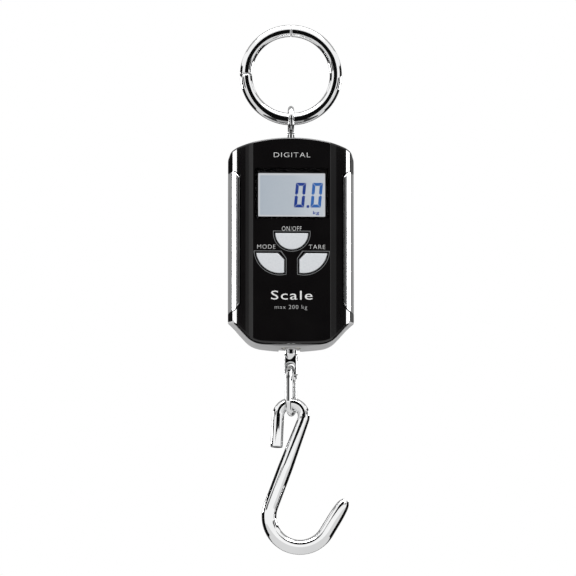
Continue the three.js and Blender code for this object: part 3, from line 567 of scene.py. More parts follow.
def battery_material():
    """Printed cell sleeve: blue with a pale band near each end."""
    material, tree, shader, place = base_material("cell_sleeve", coat=0.4)
    height = along(tree, place, "Z", TOP_Z + WELL_BOTTOM, TOP_Z + WELL_TOP)
    blue, pale = (0.02, 0.09, 0.32), (0.62, 0.64, 0.66)
    bands = [(0.0, pale), (0.2, pale), (0.21, blue), (0.79, blue), (0.8, pale), (1.0, pale)]
    feed(tree, shader, {
        "Base Color": ramp(tree, height, bands),
        "Roughness": spread(tree, noise(tree, place, 1.2), 0.2, 0.34),
    })
    return material


LOOKS = make_materials()

# ---------------- ring and its hinged quarter


def ring_arc(name, start, end):
    """Part of the ring between two angles in degrees, its ends rounded off at the seams."""
    length = math.radians(end - start) * RING_R
    edge = 0.6
    seam = GAP / 2
    stations = [(seam + s, loss) for s, loss in rounded_end(edge)]
    steps = round(length / 0.55)
    inner = [(seam + edge + (length - 2 * (seam + edge)) * i / steps, 0) for i in range(1, steps)]
    stations = stations + inner + [(length - s, loss) for s, loss in reversed(stations)]
    path, radii = [], []
    for s, loss in stations:
        a = math.radians(start) + s / RING_R
        path.append((RING_R * math.cos(a), RING_Z + RING_R * math.sin(a)))
        radii.append(WIRE_R - loss)
    return tube(name, path, radii, sides=48)


def make_ring():
    """The fixed three quarters, the quarter that opens with its hinge tongue, and the pin."""
    pin_x = -(RING_R + WIRE_R - 1.5)
    pin_place = (pin_x, 0, RING_Z)
    tongue, knuckle = 0.9, 1.5

    def tongue_bar(margin, z0, z1):
        """The tongue's round end at the pin, with its arm from z0 to z1 above it."""
        r, half = knuckle + margin, tongue + margin
        end = cylinder(r, -half, half, 32, axis="Y", centre=pin_place)
        arm = block(pin_x - r + 0.1, pin_x + r, -half, half, RING_Z + z0, RING_Z + z1)
        return combine(end, [arm], "UNION")

    fixed = ring_arc("ring_body_bar", -180, 90)
    slot = tongue_bar(GAP, -0.5, 1.0)
    mouth = block(pin_x - 6, pin_x, -tongue - GAP, tongue + GAP, RING_Z - knuckle - GAP, RING_Z + CLEAR)
    # The gate's end swings into the space outside a slope that falls away from the pin.
    inner_x, outer_x, top = pin_x + 0.2, pin_x - 6, RING_Z + CLEAR
    slope = [(inner_x, RING_Z - 0.1), (outer_x, RING_Z - 6.3), (outer_x, top), (inner_x, top)]
    relief = prism(slope, "Y", -9, 9)
    combine(fixed, [slot, mouth, relief])
    finish_piece(fixed, "chrome", ["ring_body"], "ring", smooth=40)

    gate = ring_arc("ring_gate_bar", 90, 180)
    whole = ring_arc("cutter", 91, 449)
    combine(gate, [combine(tongue_bar(0, 0.0, 3.0), [whole], "INTERSECT")], "UNION")
    finish_piece(gate, "chrome", ["ring_gate"], "gate", smooth=40)

    pin = turned([(0, -2.4), (0.35, -2.4), (0.6, -2.2), (0.6, 2.2), (0.35, 2.4), (0, 2.4)],
                 24, "gate_pin_turned", "Y", pin_place)
    finish_piece(pin, "steel", ["gate_pin"], "ring", smooth=50)


# ---------------- hanging eye


def make_eye():
    """The eye bolt: a forged eye on a tapered neck, and its threaded shank inside the housing."""
    eye_r, bar_r, half_width = 5.7, 1.7, 1.5
    eye_z = EYE_HIGH.z - eye_r - bar_r
    loops = []
    for i in range(72):
        a = 2 * math.pi * i / 72
        loop = []
        for k in range(24):
            b = 2 * math.pi * k / 24
            reach = eye_r + bar_r * math.cos(b)
            loop.append((half_width * math.sin(b), reach * math.cos(a), eye_z + reach * math.sin(a)))
        loops.append(loop)
    eye = loft("hanging_eye", loops, closed=True)
    foot_z = eye_z - eye_r
    neck = turned([
        (0, TOP_Z - 1.5), (2.1, TOP_Z - 1.5), (2.1, TOP_Z + 0.5), (1.95, TOP_Z + 0.9),
        (1.6, foot_z - 1.6), (1.9, foot_z - 0.6), (0, foot_z + 0.2),
    ], 32)
    combine(eye, [neck], "UNION")
    forge(eye, 6)
    finish_piece(eye, "chrome", ["top_eye_bolt"])

    root, crest, pitch = 2.12, 2.5, 0.55
    profile = [(0, EYE_LOW.z), (1.9, EYE_LOW.z)]
    z = TOP_Z - 16.2
    while z < TOP_Z - 3.3:
        profile += [(root, z), (crest, z + 0.22), (crest, z + 0.3), (root, z + 0.5)]
        z += pitch
    profile += [(2.1, TOP_Z - 2.9), (2.1, TOP_Z - 1.4), (0, TOP_Z - 1.4)]
    shank = turned(profile, 32, "eye_bolt_thread")
    finish_piece(shank, "steel", smooth=25)


# ---------------- housing


def housing_lines(sag):
    """Right half of the housing's top and bottom edges, as (x, height) lines from the middle outwards."""
    steps = 24
    crown = []
    for i in range(steps + 1):
        x = CROWN_HALF * i / steps
        crown.append((x, math.sqrt(CROWN_R**2 - x**2) - CROWN_R))
    top = smooth_line(crown + [(30.7, -6.0), (HALF_WIDTH, -9.3), (HALF_WIDTH, -12)], 0.8, 5)[:-1]
    low = [
        (0, -HOUSING_HEIGHT - sag), (8, -105.8 - sag * 0.6), (15.6, -105.5), (18.8, -104.6), (21.7, -102.9),
        (26.4, -97.8), (28, -96), (30, -94.4), (HALF_WIDTH, -93.5),
    ]
    return top, smooth_line(low, 2.5, 5)


def housing_volume(name, sag=0.0):
    """The whole housing as one closed body: columns from the left side to the right side."""
    top, low = housing_lines(sag)
    front = smooth_line(PLAN_FRONT, [0.5, 2.1, 0.5, 0.9], 10)
    rear = smooth_line(PLAN_REAR, 1.6, 6)
    places = sorted({round(p[0], 3) for line in (top, low, front, rear) for p in line if p[0] <= HALF_WIDTH})
    closest = 0.06
    kept = [places[0]]
    for x in places[1:]:
        if x - kept[-1] > closest:
            kept.append(x)
    kept[-1] = HALF_WIDTH
    loops = []
    for x in [-x for x in reversed(kept[1:])] + kept:
        across = abs(x)
        z1, z0 = height_at(top, across), height_at(low, across)
        y0, y1 = height_at(front, across), height_at(rear, across)
        near = min(FRONT_EDGE_R, 0.45 * (PARTING_Y - y0))
        far = min(REAR_EDGE_R, 0.45 * (y1 - PARTING_Y))
        edges = [
            (y0 + near, z1 - near, near, 90, 180), (y0 + near, z0 + near, near, 180, 270),
            (y1 - far, z0 + far, far, 270, 360), (y1 - far, z1 - far, far, 0, 90),
        ]
        loop = []
        for y, z, r, start, end in edges:
            loop += [(x, py, TOP_Z + pz) for py, pz in arc(y, z, r, start, end, 6)]
        loops.append(loop)
    return loft(name, loops)


def hollow():
    """The inside of the housing: the same body drawn in by the wall."""
    inside = housing_volume("cutter")
    middle = TOP_Z - HOUSING_HEIGHT / 2
    for vert in inside.data.vertices:
        x, y, z = vert.co / MM
        depth = (FRONT_Y if y < PARTING_Y else REAR_Y) - PARTING_Y
        y = PARTING_Y + (y - PARTING_Y) * (1 - WALL / abs(depth))
        z = middle + (z - middle) * (1 - 2 * WALL / HOUSING_HEIGHT)
        vert.co = Vector((x * (1 - WALL / HALF_WIDTH), y, z)) * MM
    return inside


def across_housing(outline):
    """A cutter right across the housing, from (y, height) points."""
    return prism(lowered(outline), "X", -50, 50)


def front_space(offset):
    """Everything in front of the parting surface, moved back by offset."""
    step_y = -7.5 + offset  # the parting steps forward to here below the trims
    return across_housing([
        (-30, 10), (PARTING_Y + offset, 10), (PARTING_Y + offset, -92.7 - offset / 2),
        (step_y, -93.4 - offset / 2), (step_y, -120), (-30, -120),
    ])


def trim_seat(side):
    """The pocket in the housing that a side trim sits in."""
    inner = [(29.1, TRIM_REAR_Y), (30.05, 5.8), (30.8, 1.4), (29.2, -5.6), (27, -9.5), (25.9, -10.15)]
    deep = [(x - GAP, y + GAP / 2) for x, y in inner]
    deep[0] = (29.1 - GAP, TRIM_REAR_Y + GAP)
    deep[-1] = (25.9 - GAP, -10.15 + GAP / 4)
    plan = [(26.5 - GAP, -13), (36, -13), (36, TRIM_REAR_Y + GAP)] + deep
    column = prism([(side * x, y) for x, y in plan], "Z", TOP_Z + TRIM_BOTTOM - PAST, TOP_Z + TRIM_TOP + PAST)
    y0 = TRIM_FRONT_Y - GAP
    top, low, r = TRIM_TOP + GAP, TRIM_BOTTOM - GAP, TRIM_CORNER_R + GAP
    upper, lower = arc(y0 + r, top - r, r, 90, 180, 12), arc(y0 + r, low + r, r, 180, 270, 12)
    return combine(column, [across_housing([(12, low), (12, top)] + upper + lower)], "INTERSECT")


def power_outline(margin):
    """Half disc, flat side up."""
    r = POWER_R + margin
    lift = math.degrees(math.asin(max(margin, -0.9 * r) / r))
    return arc(0, POWER_TOP, r, lift, -180 - lift, 40)


def side_key_outline(side, margin):
    """Quarter disc with a chamfered inner top corner."""
    x0, z0, radius = SIDE_KEY_ARC
    r = radius + margin
    top = SIDE_KEY_TOP + margin
    inner = SIDE_KEY_INNER - margin
    start = -math.degrees(math.asin((z0 - top) / r))
    end = -90 - math.degrees(math.asin((x0 - inner) / r))
    points = [(inner, top - SIDE_KEY_CHAMFER - margin / 2), (inner + SIDE_KEY_CHAMFER - margin / 2, top)]
    points += arc(x0, z0, r, start, end, 24)
    return [(side * x, z) for x, z in points]


KEYS = {
    "power": power_outline,
    "mode": lambda margin: side_key_outline(-1, margin),
    "tare": lambda margin: side_key_outline(1, margin),
}


def neck_hole():
    """The cutter for the eye bolt's hole in the housing's top."""
    return cylinder(NECK_HOLE_R, TOP_Z - 8, TOP_Z + 4, 40)


def make_front_cover():
    cover = housing_volume("front_cover_moulding")
    combine(cover, [front_space(0)], "INTERSECT")
    combine(cover, [hollow(), trim_seat(-1), trim_seat(1)])
    open_y, floor_y = FRONT_Y - PAST, FRONT_Y + 3.5
    recess = block(LENS_LOW.x - GAP, LENS_HIGH.x + GAP, open_y, FRONT_Y + 0.95,
                   LENS_LOW.z - GAP, LENS_HIGH.z + GAP, corner=1.4)
    window = block(-WINDOW_HALF, WINDOW_HALF, open_y, floor_y,
                   TOP_Z + WINDOW_BOTTOM, TOP_Z + WINDOW_TOP, corner=0.5)
    combine(cover, [recess, window])
    for outline in KEYS.values():
        hole = prism(lowered(outline(GAP)), "Y", open_y, floor_y)
        rim = prism(lowered(rounded_outline(outline(KEY_RECESS), 1.2, 4)), "Y", open_y, FRONT_Y + 0.4)
        combine(cover, [rim, hole])
    combine(cover, [neck_hole()])
    soften(cover, 0.14, 2, 38)
    finish_piece(cover, "black_cover", ["front_cover"], smooth=30)


def make_rear_shell():
    """The grey shell, with the two cell wells, the screw bosses and the opening for the door."""
    shell = housing_volume("rear_shell_moulding", BOTTOM_SAG)
    combine(shell, [front_space(GAP), hollow()])
    bays, wells = [], []
    for side in (-1, 1):
        x0, x1 = sorted((side * WELL_INNER, side * WELL_OUTER))
        z0, z1 = TOP_Z + WELL_BOTTOM, TOP_Z + WELL_TOP
        bays.append(block(x0 - WELL_WALL, x1 + WELL_WALL, WELL_FLOOR_Y - WELL_WALL, REAR_Y - 1,
                          z0 - WELL_WALL, z1 + WELL_WALL))
        wells.append(block(x0, x1, WELL_FLOOR_Y, REAR_Y + CLEAR, z0, z1, corner=0.8))
    screws = [(x, 0, TOP_Z + z) for x, z in CASE_SCREWS]
    bosses = [cylinder(3, PARTING_Y + GAP, REAR_Y - 1, 32, axis="Y", centre=place) for place in screws]
    combine(shell, bays + bosses, "UNION")
    past_y = REAR_Y + PAST
    low, high = DOOR_BOTTOM - GAP, DOOR_TOP + GAP
    door = block(DOOR_LOW.x - GAP, DOOR_HIGH.x + GAP, REAR_Y - DOOR_THICK - GAP, past_y,
                 TOP_Z + low, TOP_Z + high, corner=2.6)
    channel = block(-12, 12, REAR_Y - 3, REAR_Y + CLEAR, TOP_Z + low, TOP_Z + high)
    finger_notch = [(-5.5, -48), (-3.6, -43.4), (3.6, -43.4), (5.5, -48)]
    finger = prism(lowered(finger_notch), "Y", REAR_Y - 1.2, past_y)
    foot_notch = [(-7.6, -112), (-5.6, -104.6), (4.6, -104.6), (6.6, -112)]
    foot = prism(lowered(foot_notch), "Y", 6.6, past_y)
    stem = cylinder(STEM_HOLE_R, TOP_Z - 115, TOP_Z - 95)
    combine(shell, wells + [door, channel, finger, foot, neck_hole(), stem])
    seat_y = REAR_Y - 2.2
    bore_r, head_r = 1.55, 2.9
    bore = [(0, 0), (bore_r, 0), (bore_r, seat_y), (head_r, seat_y), (head_r, REAR_Y + 4), (0, REAR_Y + 4)]
    for place in screws:
        combine(shell, [turned(bore, 36, axis="Y", centre=place)])
    soften(shell, 0.16, 2, 38)
    finish_piece(shell, "grey_shell", ["rear_shell"], smooth=30)


def make_trim(side, name):
    """A chromed strip: a plan section drawn up the housing, its front corners rounded."""
    line = smooth_line(TRIM_PLAN, 0.7, 6)
    dense = []
    for a, b in zip(line, line[1:]):
        pieces = max(1, round((b - a).length / 0.35))
        dense += [a + (b - a) * i / pieces for i in range(pieces)]
    dense.append(line[-1])
    loops = []
    for i, point in enumerate(dense):
        ahead = (dense[min(i + 1, len(dense) - 1)] - dense[max(i - 1, 0)]).normalized()
        back = point + Vector((-ahead.y, ahead.x)) * TRIM_THICK
        short = max(0.0, TRIM_FRONT_Y + TRIM_CORNER_R - point.y)
        drop = TRIM_CORNER_R - math.sqrt(max(0.0, TRIM_CORNER_R**2 - short**2))
        top, low = TOP_Z + TRIM_TOP - drop, TOP_Z + TRIM_BOTTOM + drop
        loops.append([
            (side * point.x, point.y, top), (side * point.x, point.y, low),
            (side * back.x, back.y, low), (side * back.x, back.y, top),
        ])
    strip = loft(f"{name}_strip", loops)
    soften(strip, 0.22, 3, 50)
    finish_piece(strip, "chrome", [name], smooth=40)


# ---------------- keys, display and print


def cap_solid(name, outline_of):
    """A key cap: a flange at the back, a rounded front edge and a slightly raised middle."""
    flange, flange_thick, edge, crown = 0.9, 0.3, 0.45, 0.12
    step_y = KEY_BACK_Y - flange_thick
    steps = 5
    stations = [(flange, KEY_BACK_Y), (flange, step_y), (0.0, step_y)]
    for i in range(steps + 1):
        a = math.pi / 2 * i / steps
        stations.append((-edge * (1 - math.cos(a)), KEY_FACE_Y + crown + edge * (1 - math.sin(a))))
    for inset, rise in ((0.6, 0.5), (1.4, 0.85), (2.2, 1.0)):
        stations.append((-edge - inset, KEY_FACE_Y + crown * (1 - rise)))
    return loft(name, [[(x, y, z) for x, z in lowered(outline_of(margin))] for margin, y in stations])


def make_keys():
    for name, outline in KEYS.items():
        cap = cap_solid(f"{name}_key_cap", outline)
        finish_piece(cap, "silver_key", [f"{name}_button"], f"{name}_key", smooth=35)
        make_key_highlight_rim(name, outline)


def make_key_highlight_rim(name, outline):
    """The fine edge of the recess that a key sits in, a raised grey line: its grey is a painted highlight of
    light caught on the recess edge.
    """
    inner = 0.92
    proud_y = FRONT_Y - 0.05
    section = [(KEY_RECESS, FRONT_Y + 0.1), (KEY_RECESS, proud_y), (inner, proud_y), (inner, FRONT_Y + 0.35)]
    loops = [[(x, y, z) for x, z in lowered(outline(margin))] for margin, y in section]
    rim = loft(f"{name}_key_rim", loops, closed=True)
    # The rim's grey is a painted highlight that stands in for light caught on the recess edge.
    finish_piece(rim, "rim", smooth=30)


def make_display():
    """The window, the display cell behind it, and the paler line of backlight round its field."""
    for name, node, low, high, corner, bevel, finish in (
        ("display_window", "display_lens", LENS_LOW, LENS_HIGH, 1.2, 0.12, "lens"),
        ("lcd_glass_cell", "lcd_panel", PANEL_LOW, PANEL_HIGH, 0.6, 0.15, "lcd_glass"),
    ):
        plate = block(low.x, high.x, low.y, high.y, low.z, high.z, corner, name)
        soften(plate, bevel, 2, 40)
        finish_piece(plate, finish, [node], smooth=40)

    face = PANEL_LOW.y
    half, behind, line = WINDOW_HALF, 0.3, 1.0  # the line runs on behind the window's edge
    z0, z1 = TOP_Z + WINDOW_BOTTOM, TOP_Z + WINDOW_TOP
    edge = block(-half - behind, half + behind, face - 0.06, face - 0.01, z0 - behind, z1 + behind,
                 0.5, "lcd_light_edge_frame")
    field = block(-half + line, half - line, face - CLEAR, face + CLEAR, z0 + line, z1 - line, 0.5)
    combine(edge, [field])
    finish_piece(edge, "lcd_edge")
    make_digits(face)


def make_digits(face):
    """Seven-segment zeros with a decimal point, leaning to the right."""
    lean, stroke, gap = 0.09, 1.55, 0.12
    foot, head = TOP_Z - 35.8, TOP_Z - 23.1
    middle = (foot + head) / 2
    back, front = face - 0.08, face - 0.16

    def segment(name, points, finish):
        part = prism(points, "Y", front, back, name)
        finish_piece(part, finish)

    def zero(name, x0, x1, finish):
        a, b, c, d = x0 + gap, x0 + stroke + gap, x1 - stroke - gap, x1 - gap
        bars = {
            "top": [(a, head), (d, head), (c, head - stroke), (b, head - stroke)],
            "low": [(a, foot), (b, foot + stroke), (c, foot + stroke), (d, foot)],
        }
        for side, outer, inner in (("left", x0, x0 + stroke), ("right", x1, x1 - stroke)):
            for half, start, sign in (("upper", head, 1), ("lower", foot, -1)):
                bars[f"{side}_{half}"] = [
                    (outer, start - sign * gap), (inner, start - sign * (stroke + gap)),
                    (inner, middle + sign * (gap + stroke / 2)), ((outer + inner) / 2, middle + sign * gap),
                    (outer, middle + sign * (gap + stroke / 3)),
                ]
        for place, points in bars.items():
            segment(f"{name}_{place}", [(x + (z - foot) * lean, z) for x, z in points], finish)

    zero("digit_units", 1.1, 6.3, "segment")
    zero("digit_tenths", 9.5, 14.8, "segment_pale")
    point = lowered([(7.5, -36.0), (8.9, -36.0), (9.0, -34.6), (7.6, -34.6)])
    segment("decimal_point", rounded_outline(point, 0.5), "segment")
    lettering("unit_mark", "kg", (10.8, 14.0), (-39.8, -37.6), front, "segment", 0.025)


def lettering(name, words, across, heights, face, finish, weight):
    """Printed words fitted into a width and a height on a face that looks towards -Y."""
    curve = bpy.data.curves.new(name, "FONT")
    curve.body = words
    curve.resolution_u = 3
    curve.space_character = 1.12
    curve.offset = weight
    draft = add_object(name + "_draft", curve)
    graph = bpy.context.evaluated_depsgraph_get()
    mesh = bpy.data.meshes.new_from_object(draft.evaluated_get(graph))
    bpy.data.objects.remove(draft)
    xs = [v.co.x for v in mesh.vertices]
    ys = [v.co.y for v in mesh.vertices]
    wide, tall = max(xs) - min(xs), max(ys) - min(ys)
    for vert in mesh.vertices:
        x = across[0] + (vert.co.x - min(xs)) / wide * (across[1] - across[0])
        z = TOP_Z + heights[0] + (vert.co.y - min(ys)) / tall * (heights[1] - heights[0])
        vert.co = Vector((x, face, z)) * MM
    piece = add_object(name, mesh)
    ink = piece.modifiers.new("ink", "SOLIDIFY")
    ink.thickness = 0.03 * MM
    ink.offset = 0
    settle(piece)
    finish_piece(piece, finish)


def make_print():
    """The words on the front; the small ones have thinner strokes."""
    thin = -0.018
    for name, words, across, heights, ink, weight in (
        ("print_power", "ON/OFF", (-5, 5), (-48.2, -45.9), "print", thin),
        ("print_mode", "MODE", (-17.5, -8.3), (-57.5, -55.4), "print", thin),
        ("print_tare", "TARE", (8.6, 17.0), (-57.5, -55.4), "print", thin),
        ("print_title", "DIGITAL", (-9.1, 9.4), (-10.3, -7.9), "print", thin),
        ("print_word", "Scale", (-10.5, 10.5), (-83.6, -79.0), "print", 0.0),
        ("print_range", "max 200 kg", (-8.6, 7.8), (-89.0, -86.4), "print_dim", thin),
    ):
        lettering(name, words, across, heights, FRONT_Y - 0.02, ink, weight)


# ---------------- back: door and screws


def make_door():
    """The battery door, with two hinge tabs below, a catch notch above and grip grooves."""
    z0, z1 = TOP_Z + DOOR_BOTTOM, TOP_Z + DOOR_TOP
    plate = block(DOOR_LOW.x, DOOR_HIGH.x, REAR_Y - DOOR_THICK, REAR_Y, z0, z1, 2.3, "battery_door_moulding")
    tabs = []
    for side in (-1, 1):
        a, b = sorted((side * 6, side * 10))
        tabs.append(block(a, b, REAR_Y - 2.9, REAR_Y - 2.1, z0 - 2.2, z0 + 4))
        tabs.append(block(a, b, REAR_Y - 2.9, REAR_Y - 1, z0 + 1, z0 + 4))
    combine(plate, tabs, "UNION")
    notch = [(-3.8, z1 - 3.4), (-5.5, z1 + CLEAR), (5.5, z1 + CLEAR), (3.8, z1 - 3.4)]
    grooves = [prism(notch, "Y", REAR_Y - 0.9, REAR_Y + CLEAR)]
    for i in range(5):
        z = z1 - 6 - 1.6 * i
        half = 7 - 0.8 * i
        grooves.append(block(-half, half, REAR_Y - 0.45, REAR_Y + CLEAR, z - 0.4, z + 0.4, 0.35))
    combine(plate, grooves)
    soften(plate, 0.2, 2, 40)
    finish_piece(plate, "grey_shell", ["battery_door"], "door", smooth=32)


def make_case_screws():
    """Cross-head screws, their heads sunk in the shell: the profile is (radius, depth behind its face)."""
    profile = [(0, 15.3), (0.5, 15.3), (1.25, 14.5), (1.25, 1.9), (2.35, 1.75), (2.5, 1.6), (2.5, 0.85),
               (2.3, 0.6), (1.6, 0.38), (0.8, 0.3), (0, 0.28)]
    long, narrow, depth = 1.5, 0.28, 1.15
    for i, (x, height) in enumerate(CASE_SCREWS, 1):
        z = TOP_Z + height
        screw = turned([(r, REAR_Y - behind) for r, behind in profile], 40,
                       f"case_screw_{i}_turned", "Y", (x, 0, z))
        cross = [
            block(x - across, x + across, REAR_Y - depth, REAR_Y + CLEAR, z - up, z + up)
            for across, up in ((long, narrow), (narrow, long))
        ]
        combine(screw, cross)
        finish_piece(screw, "steel", [f"case_screw_{i}"], smooth=35)


# ---------------- rod, link and hook


def yawed(piece):
    """The rod and link hang turned a little, as the swivel lets them."""
    piece.data.transform(Matrix.Rotation(ROD_YAW, 4, "Z"))
    return piece


def make_rod():
    """A round rod forged flat at its end, with a flared cross hole for the link."""
    hole_r, flare_r, head_r, head_half, shoulder = 2.3, 3.5, 4.7, 1.8, 6.3
    hole_place = (0, 0, ROD_HOLE_Z)
    head = cylinder(head_r, -head_half, head_half, 48, "swivel_rod_head", "Y", hole_place)
    waist = block(-ROD_R, ROD_R, -head_half, head_half, ROD_HOLE_Z, ROD_HOLE_Z + shoulder)
    combine(head, [waist], "UNION")
    combine(head, [cylinder(3.4, ROD_HOLE_Z - 9, ROD_HOLE_Z + 9)], "INTERSECT")
    shoulder_z = ROD_HOLE_Z + shoulder
    stem = turned([
        (0, shoulder_z - 2.4), (1.7, shoulder_z - 2.2), (ROD_R, shoulder_z + 0.6),
        (ROD_R, ROD_JOINT_Z), (0, ROD_JOINT_Z),
    ])
    combine(head, [stem], "UNION")
    hole = [(0, -9), (flare_r, -9), (flare_r, -2.4), (hole_r, -1.1),
            (hole_r, 1.1), (flare_r, 2.4), (flare_r, 9), (0, 9)]
    combine(head, [turned(hole, axis="Y", centre=hole_place)])
    forge(head, 5)
    yawed(head)
    finish_piece(head, "chrome", ["bottom_rod"], "rod")

    start, root, pitch = ROD_JOINT_Z + 0.01, ROD_R - 0.4, 0.8
    z = ROD_JOINT_Z + 24
    profile = [(0, start), (ROD_R, start), (ROD_R, z)]
    while z < ROD_TOP_Z - 1.2:
        profile += [(root, z + 0.15), (root, z + 0.25), (ROD_R, z + 0.55), (ROD_R, z + 0.65)]
        z += pitch
    profile += [(ROD_R - 0.5, ROD_TOP_Z), (0, ROD_TOP_Z)]
    shank = turned(profile, 40, "swivel_rod_shank")
    finish_piece(shank, "chrome", body="rod", smooth=25)


def make_link():
    """A welded link: two half rounds and two straight sides."""
    top, low = JOINT_Z["link_swing"] - LINK_R, LINK_FOOT_Z + LINK_WIRE_R + LINK_R
    path = arc(0, top, LINK_R, 0, 180, 32)
    path += [(-LINK_R, top + (low - top) * i / 8) for i in range(1, 8)]
    path += arc(0, low, LINK_R, 180, 360, 32)
    path += [(LINK_R, low + (top - low) * i / 8) for i in range(1, 8)]
    wire = tube("swivel_link", path, [LINK_WIRE_R] * len(path), 32, closed=True)
    wire.data.transform(Matrix.Rotation(math.pi / 2, 4, "Z"))
    yawed(wire)
    finish_piece(wire, "chrome", ["link"], "link", smooth=60)


def make_hook():
    """One bar: a short leg, the arch over the link, a shank that swells, the bowl and a tapered tip."""
    arch_r, bowl_r, bowl_x, drop = 6.5, 15.6, 4.5, 57.95
    arch_wire_r, bowl_wire_r, tip_r = 3.0, 3.75, 1.95
    leg_lean, leg_length, tip_angle = 2.8, 16.2, 31.0
    swell = 0.55  # how far down the shank the bar reaches its full size
    tip_profile = [(0, bowl_wire_r), (9.5, 3.7), (14, 3.45), (17, 3.0), (19.2, tip_r)]
    top_z = JOINT_Z["hook_swing"]
    arch_z, bowl_z = top_z - arch_r, top_z - drop
    apart = math.hypot(bowl_x, arch_z - bowl_z)
    shank_lean = math.degrees(math.asin((arch_r + bowl_r) / apart) - math.atan2(bowl_x, arch_z - bowl_z))
    arch = arc(0, arch_z, arch_r, 180 - leg_lean, -shank_lean, 44)
    bowl = arc(bowl_x, bowl_z, bowl_r, 180 - shank_lean, 360 - tip_angle, 84)
    path, radii = [], []

    def station(start, heading, distance, r):
        """One point of the path, a distance from start along a heading."""
        path.append((start[0] + heading.x * distance, start[1] + heading.y * distance))
        radii.append(r)

    def straight(a, b, steps, r0, r1):
        for i in range(steps):
            station(a, Vector(b) - Vector(a), i / steps, r0 + (r1 - r0) * i / steps)

    def curve(points, r):
        path.extend(points[:-1])
        radii.extend([r] * (len(points) - 1))

    lean = math.radians(leg_lean)
    up = Vector((math.sin(lean), math.cos(lean)))
    leg_end = (arch[0][0] - leg_length * up.x, arch[0][1] - leg_length * up.y)
    for s, loss in rounded_end(0.45):
        station(leg_end, up, s, WIRE_R - loss)
    straight(path.pop(), arch[0], 12, radii.pop(), arch_wire_r)
    curve(arch, arch_wire_r)
    middle = tuple(a + (b - a) * swell for a, b in zip(arch[-1], bowl[0]))
    straight(arch[-1], middle, 20, arch_wire_r, bowl_wire_r)
    straight(middle, bowl[0], 14, bowl_wire_r, bowl_wire_r)
    curve(bowl, bowl_wire_r)
    rise = math.radians(tip_angle)
    up = Vector((math.sin(rise), math.cos(rise)))
    for s, r in smooth_line(tip_profile, 2.0)[:-1]:
        station(bowl[-1], up, s, r)
    for back, loss in reversed(rounded_end(0.35)):
        station(bowl[-1], up, tip_profile[-1][0] - back, tip_r - loss)
    hook = tube("forged_hook", path, radii, 72)
    finish_piece(hook, "chrome", ["hook"], "hook", smooth=50)


# ---------------- inside

# The finish of the CAD nodes that keep their shape, by the start of their names.
CARRIED = {
    "steel": ("gate_plunger", "top_lock_nut", "swivel_yoke", "yoke_bolt", "rod_nut", "battery_spring",
              "battery_contact", "board_screw"),
    "aluminium": ("load_cell",),
    "brass": ("thrust_washer",),
    "nylon": ("top_bush", "bottom_bush"),
    "rubber": ("cell_cable", "lcd_connector"),
    "chip": ("controller_chip", "converter_chip", "power_switch", "mode_switch", "tare_switch"),
    "diffuser": ("lcd_backlight",),
    "board": ("main_board",),
    "foil": ("strain_gauge",),
}


def dress_carried_nodes():
    """Gives the CAD nodes inside the housing their finish."""
    for finish, starts in CARRIED.items():
        for node in [node for name, node in frame["nodes"].items() if name.startswith(starts)]:
            if not node.material_slots:
                node.data.materials.append(LOOKS[finish])
            for place in node.material_slots:
                place.material = LOOKS[finish]


def make_batteries():
    """Two cells, one each way up: the profile is (radius, height) from the flat end to the button."""
    r, length = 5.2, 43.5
    profile = [(0, 0), (4.4, 0), (4.6, 0.15), (4.75, 0.1), (r, 0.5), (r, length - 0.9), (4.9, length - 0.5),
               (4.7, length - 0.35), (4.5, length - 0.5), (2.2, length - 0.4), (1.9, length - 0.2),
               (1.9, length + 0.65), (1.7, length + 0.8), (0, length + 0.8)]
    for node, up in (("battery_left", 1), ("battery_right", -1)):
        low, high = corners(node)
        base = low.z if up > 0 else high.z
        centre = ((low.x + high.x) / 2, (low.y + high.y) / 2, 0)
        points = [(radius, base + up * h) for radius, h in profile]
        cell = turned(points[::up], 48, f"{node}_cell", centre=centre)
        finish_piece(cell, "battery_sleeve", [node], smooth=30)


# ---------------- studio


def reflected_only(thing):
    """Keeps a studio piece out of the picture: only mirrors see it."""
    thing.visible_camera = False
    thing.visible_diffuse = False
    thing.visible_transmission = False
    thing.visible_shadow = False


def paper(name, verts, faces, material):
    """A sheet of the studio, from points in metres."""
    mesh = bpy.data.meshes.new(name)
    mesh.from_pydata(verts, [], faces)
    sheet = add_object(name, mesh)
    sheet.data.materials.append(material)
    return sheet


def glow_paper(name, verts, faces, level):
    """A sheet of one even brightness, whatever light falls on it, that only mirrors see."""
    material = even_material(name + "_surface", {
        "Base Color": (0, 0, 0, 1), "Specular IOR Level": 0.0,
        "Emission Color": (level, level, level, 1), "Emission Strength": 1.0,
    })
    reflected_only(paper(name, verts, faces, material))


def screen(name, radius, azimuths, heights, level):
    """A curved paper round the object; azimuths run from the front towards +X, heights are in metres."""
    start, end = (math.radians(a) for a in azimuths)
    steps = 12
    verts, faces = [], []
    for i in range(steps + 1):
        a = start + (end - start) * i / steps
        verts += [(radius * math.sin(a), -radius * math.cos(a), z) for z in heights]
        if i:
            faces.append((2 * i - 2, 2 * i, 2 * i + 1, 2 * i - 1))
    glow_paper(name, verts, faces, level)


def area_light(name, place, target, size, radiance):
    """A rectangular soft box that looks at target."""
    light = bpy.data.lights.new(name, "AREA")
    light.shape = "RECTANGLE"
    light.size, light.size_y = size
    light.energy = radiance * math.pi * size[0] * size[1]
    box = add_object(name, light)
    box.location = place
    box.rotation_euler = (Vector(target) - Vector(place)).to_track_quat("-Z", "Y").to_euler()
    reflected_only(box)


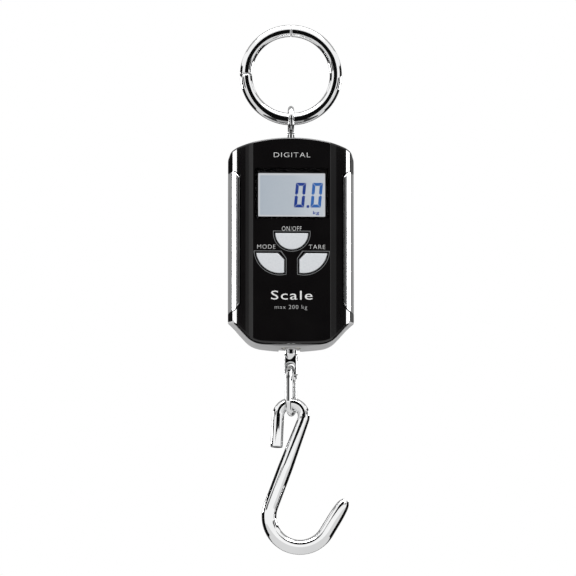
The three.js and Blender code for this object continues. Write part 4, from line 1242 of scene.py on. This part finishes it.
def make_studio():
    """A white tent. Its black papers draw the dark lines in the chrome; its side lamps, bright stripes."""
    scene = bpy.context.scene
    scene.world = bpy.data.worlds.new("white_tent")
    scene.world.use_nodes = True
    tree = scene.world.node_tree
    feed(tree, tree.nodes["Background"], {"Color": (1, 1, 1, 1), "Strength": 1.0})
    scene.view_settings.view_transform = "Standard"

    square = [(0, 1, 2, 3)]
    z, reach = -1.1, 9
    floor = [(-reach, -reach, z), (reach, -reach, z), (reach, reach, z), (-reach, reach, z)]
    paper("floor", floor, square, even_material("floor_paper", {
        "Base Color": (0.74, 0.74, 0.74, 1), "Roughness": 0.9, "Specular IOR Level": 0.0,
    }))

    black = 0.004
    x, y, z0, z1 = 0.08, -0.118, -0.184, 0.037
    glow_paper("front_paper", [(-x, y, z0), (x, y, z0), (x, y, z1), (-x, y, z1)], square, black)
    x, z, y0, y1 = 1.2, 0.9, 0.15, 1.6
    glow_paper("ceiling_paper", [(-x, y0, z), (x, y0, z), (x, y1, z), (-x, y1, z)], square, 0.35)
    tall, short = (-0.66, 0.27), (-0.07, 0.055)
    screen("back_paper", 0.8, (164, 196), tall, black)
    aim_z = -0.1
    for side, name in [(-1, "left"), (1, "right")]:
        screen(f"bevel_paper_{name}", 0.6, (side * 47, side * 66), short, 0.01)
        screen(f"shade_paper_{name}", 0.6, (side * 40, side * 47), short, 0.3)
        screen(f"side_paper_{name}", 0.8, (side * 78, side * 147), tall, black)
        screen(f"grey_paper_{name}", 0.8, (side * 147, side * 164), tall, 0.28)
        lamp, aim = (side * 0.62, 0.42, 0.01), (side * 0.03, 0, aim_z)
        area_light(f"edge_light_{name}", lamp, aim, (0.15, 0.17), 12.0)
    area_light("top_light", (0, -0.2, 0.85), (0, 0, aim_z), (1.2, 0.8), 8.0)


def make_camera():
    """A long lens a little below and to the left of the object's middle, in metres."""
    distance = 5.0
    frame_width = 0.2926
    turn, rise = math.radians(-1.7), math.radians(-9.5)
    target = Vector((-0.0015, 0, -0.1299))
    towards = Vector((math.sin(turn) * math.cos(rise), -math.cos(turn) * math.cos(rise), math.sin(rise)))
    data = bpy.data.cameras.new("camera")
    data.sensor_width = 36
    data.lens = data.sensor_width * distance / frame_width
    data.clip_start, data.clip_end = 0.05, 50
    camera = add_object("camera", data)
    camera.location = target + towards * distance
    camera.rotation_euler = (-towards).to_track_quat("-Z", "Y").to_euler()
    bpy.context.scene.camera = camera


# ---------------- the whole

make_camera()
make_studio()
make_ring()
make_eye()
make_front_cover()
make_rear_shell()
make_trim(-1, "side_trim_left")
make_trim(1, "side_trim_right")
make_keys()
make_display()
make_print()
make_door()
make_case_screws()
make_rod()
make_link()
make_hook()
make_batteries()
dress_carried_nodes()
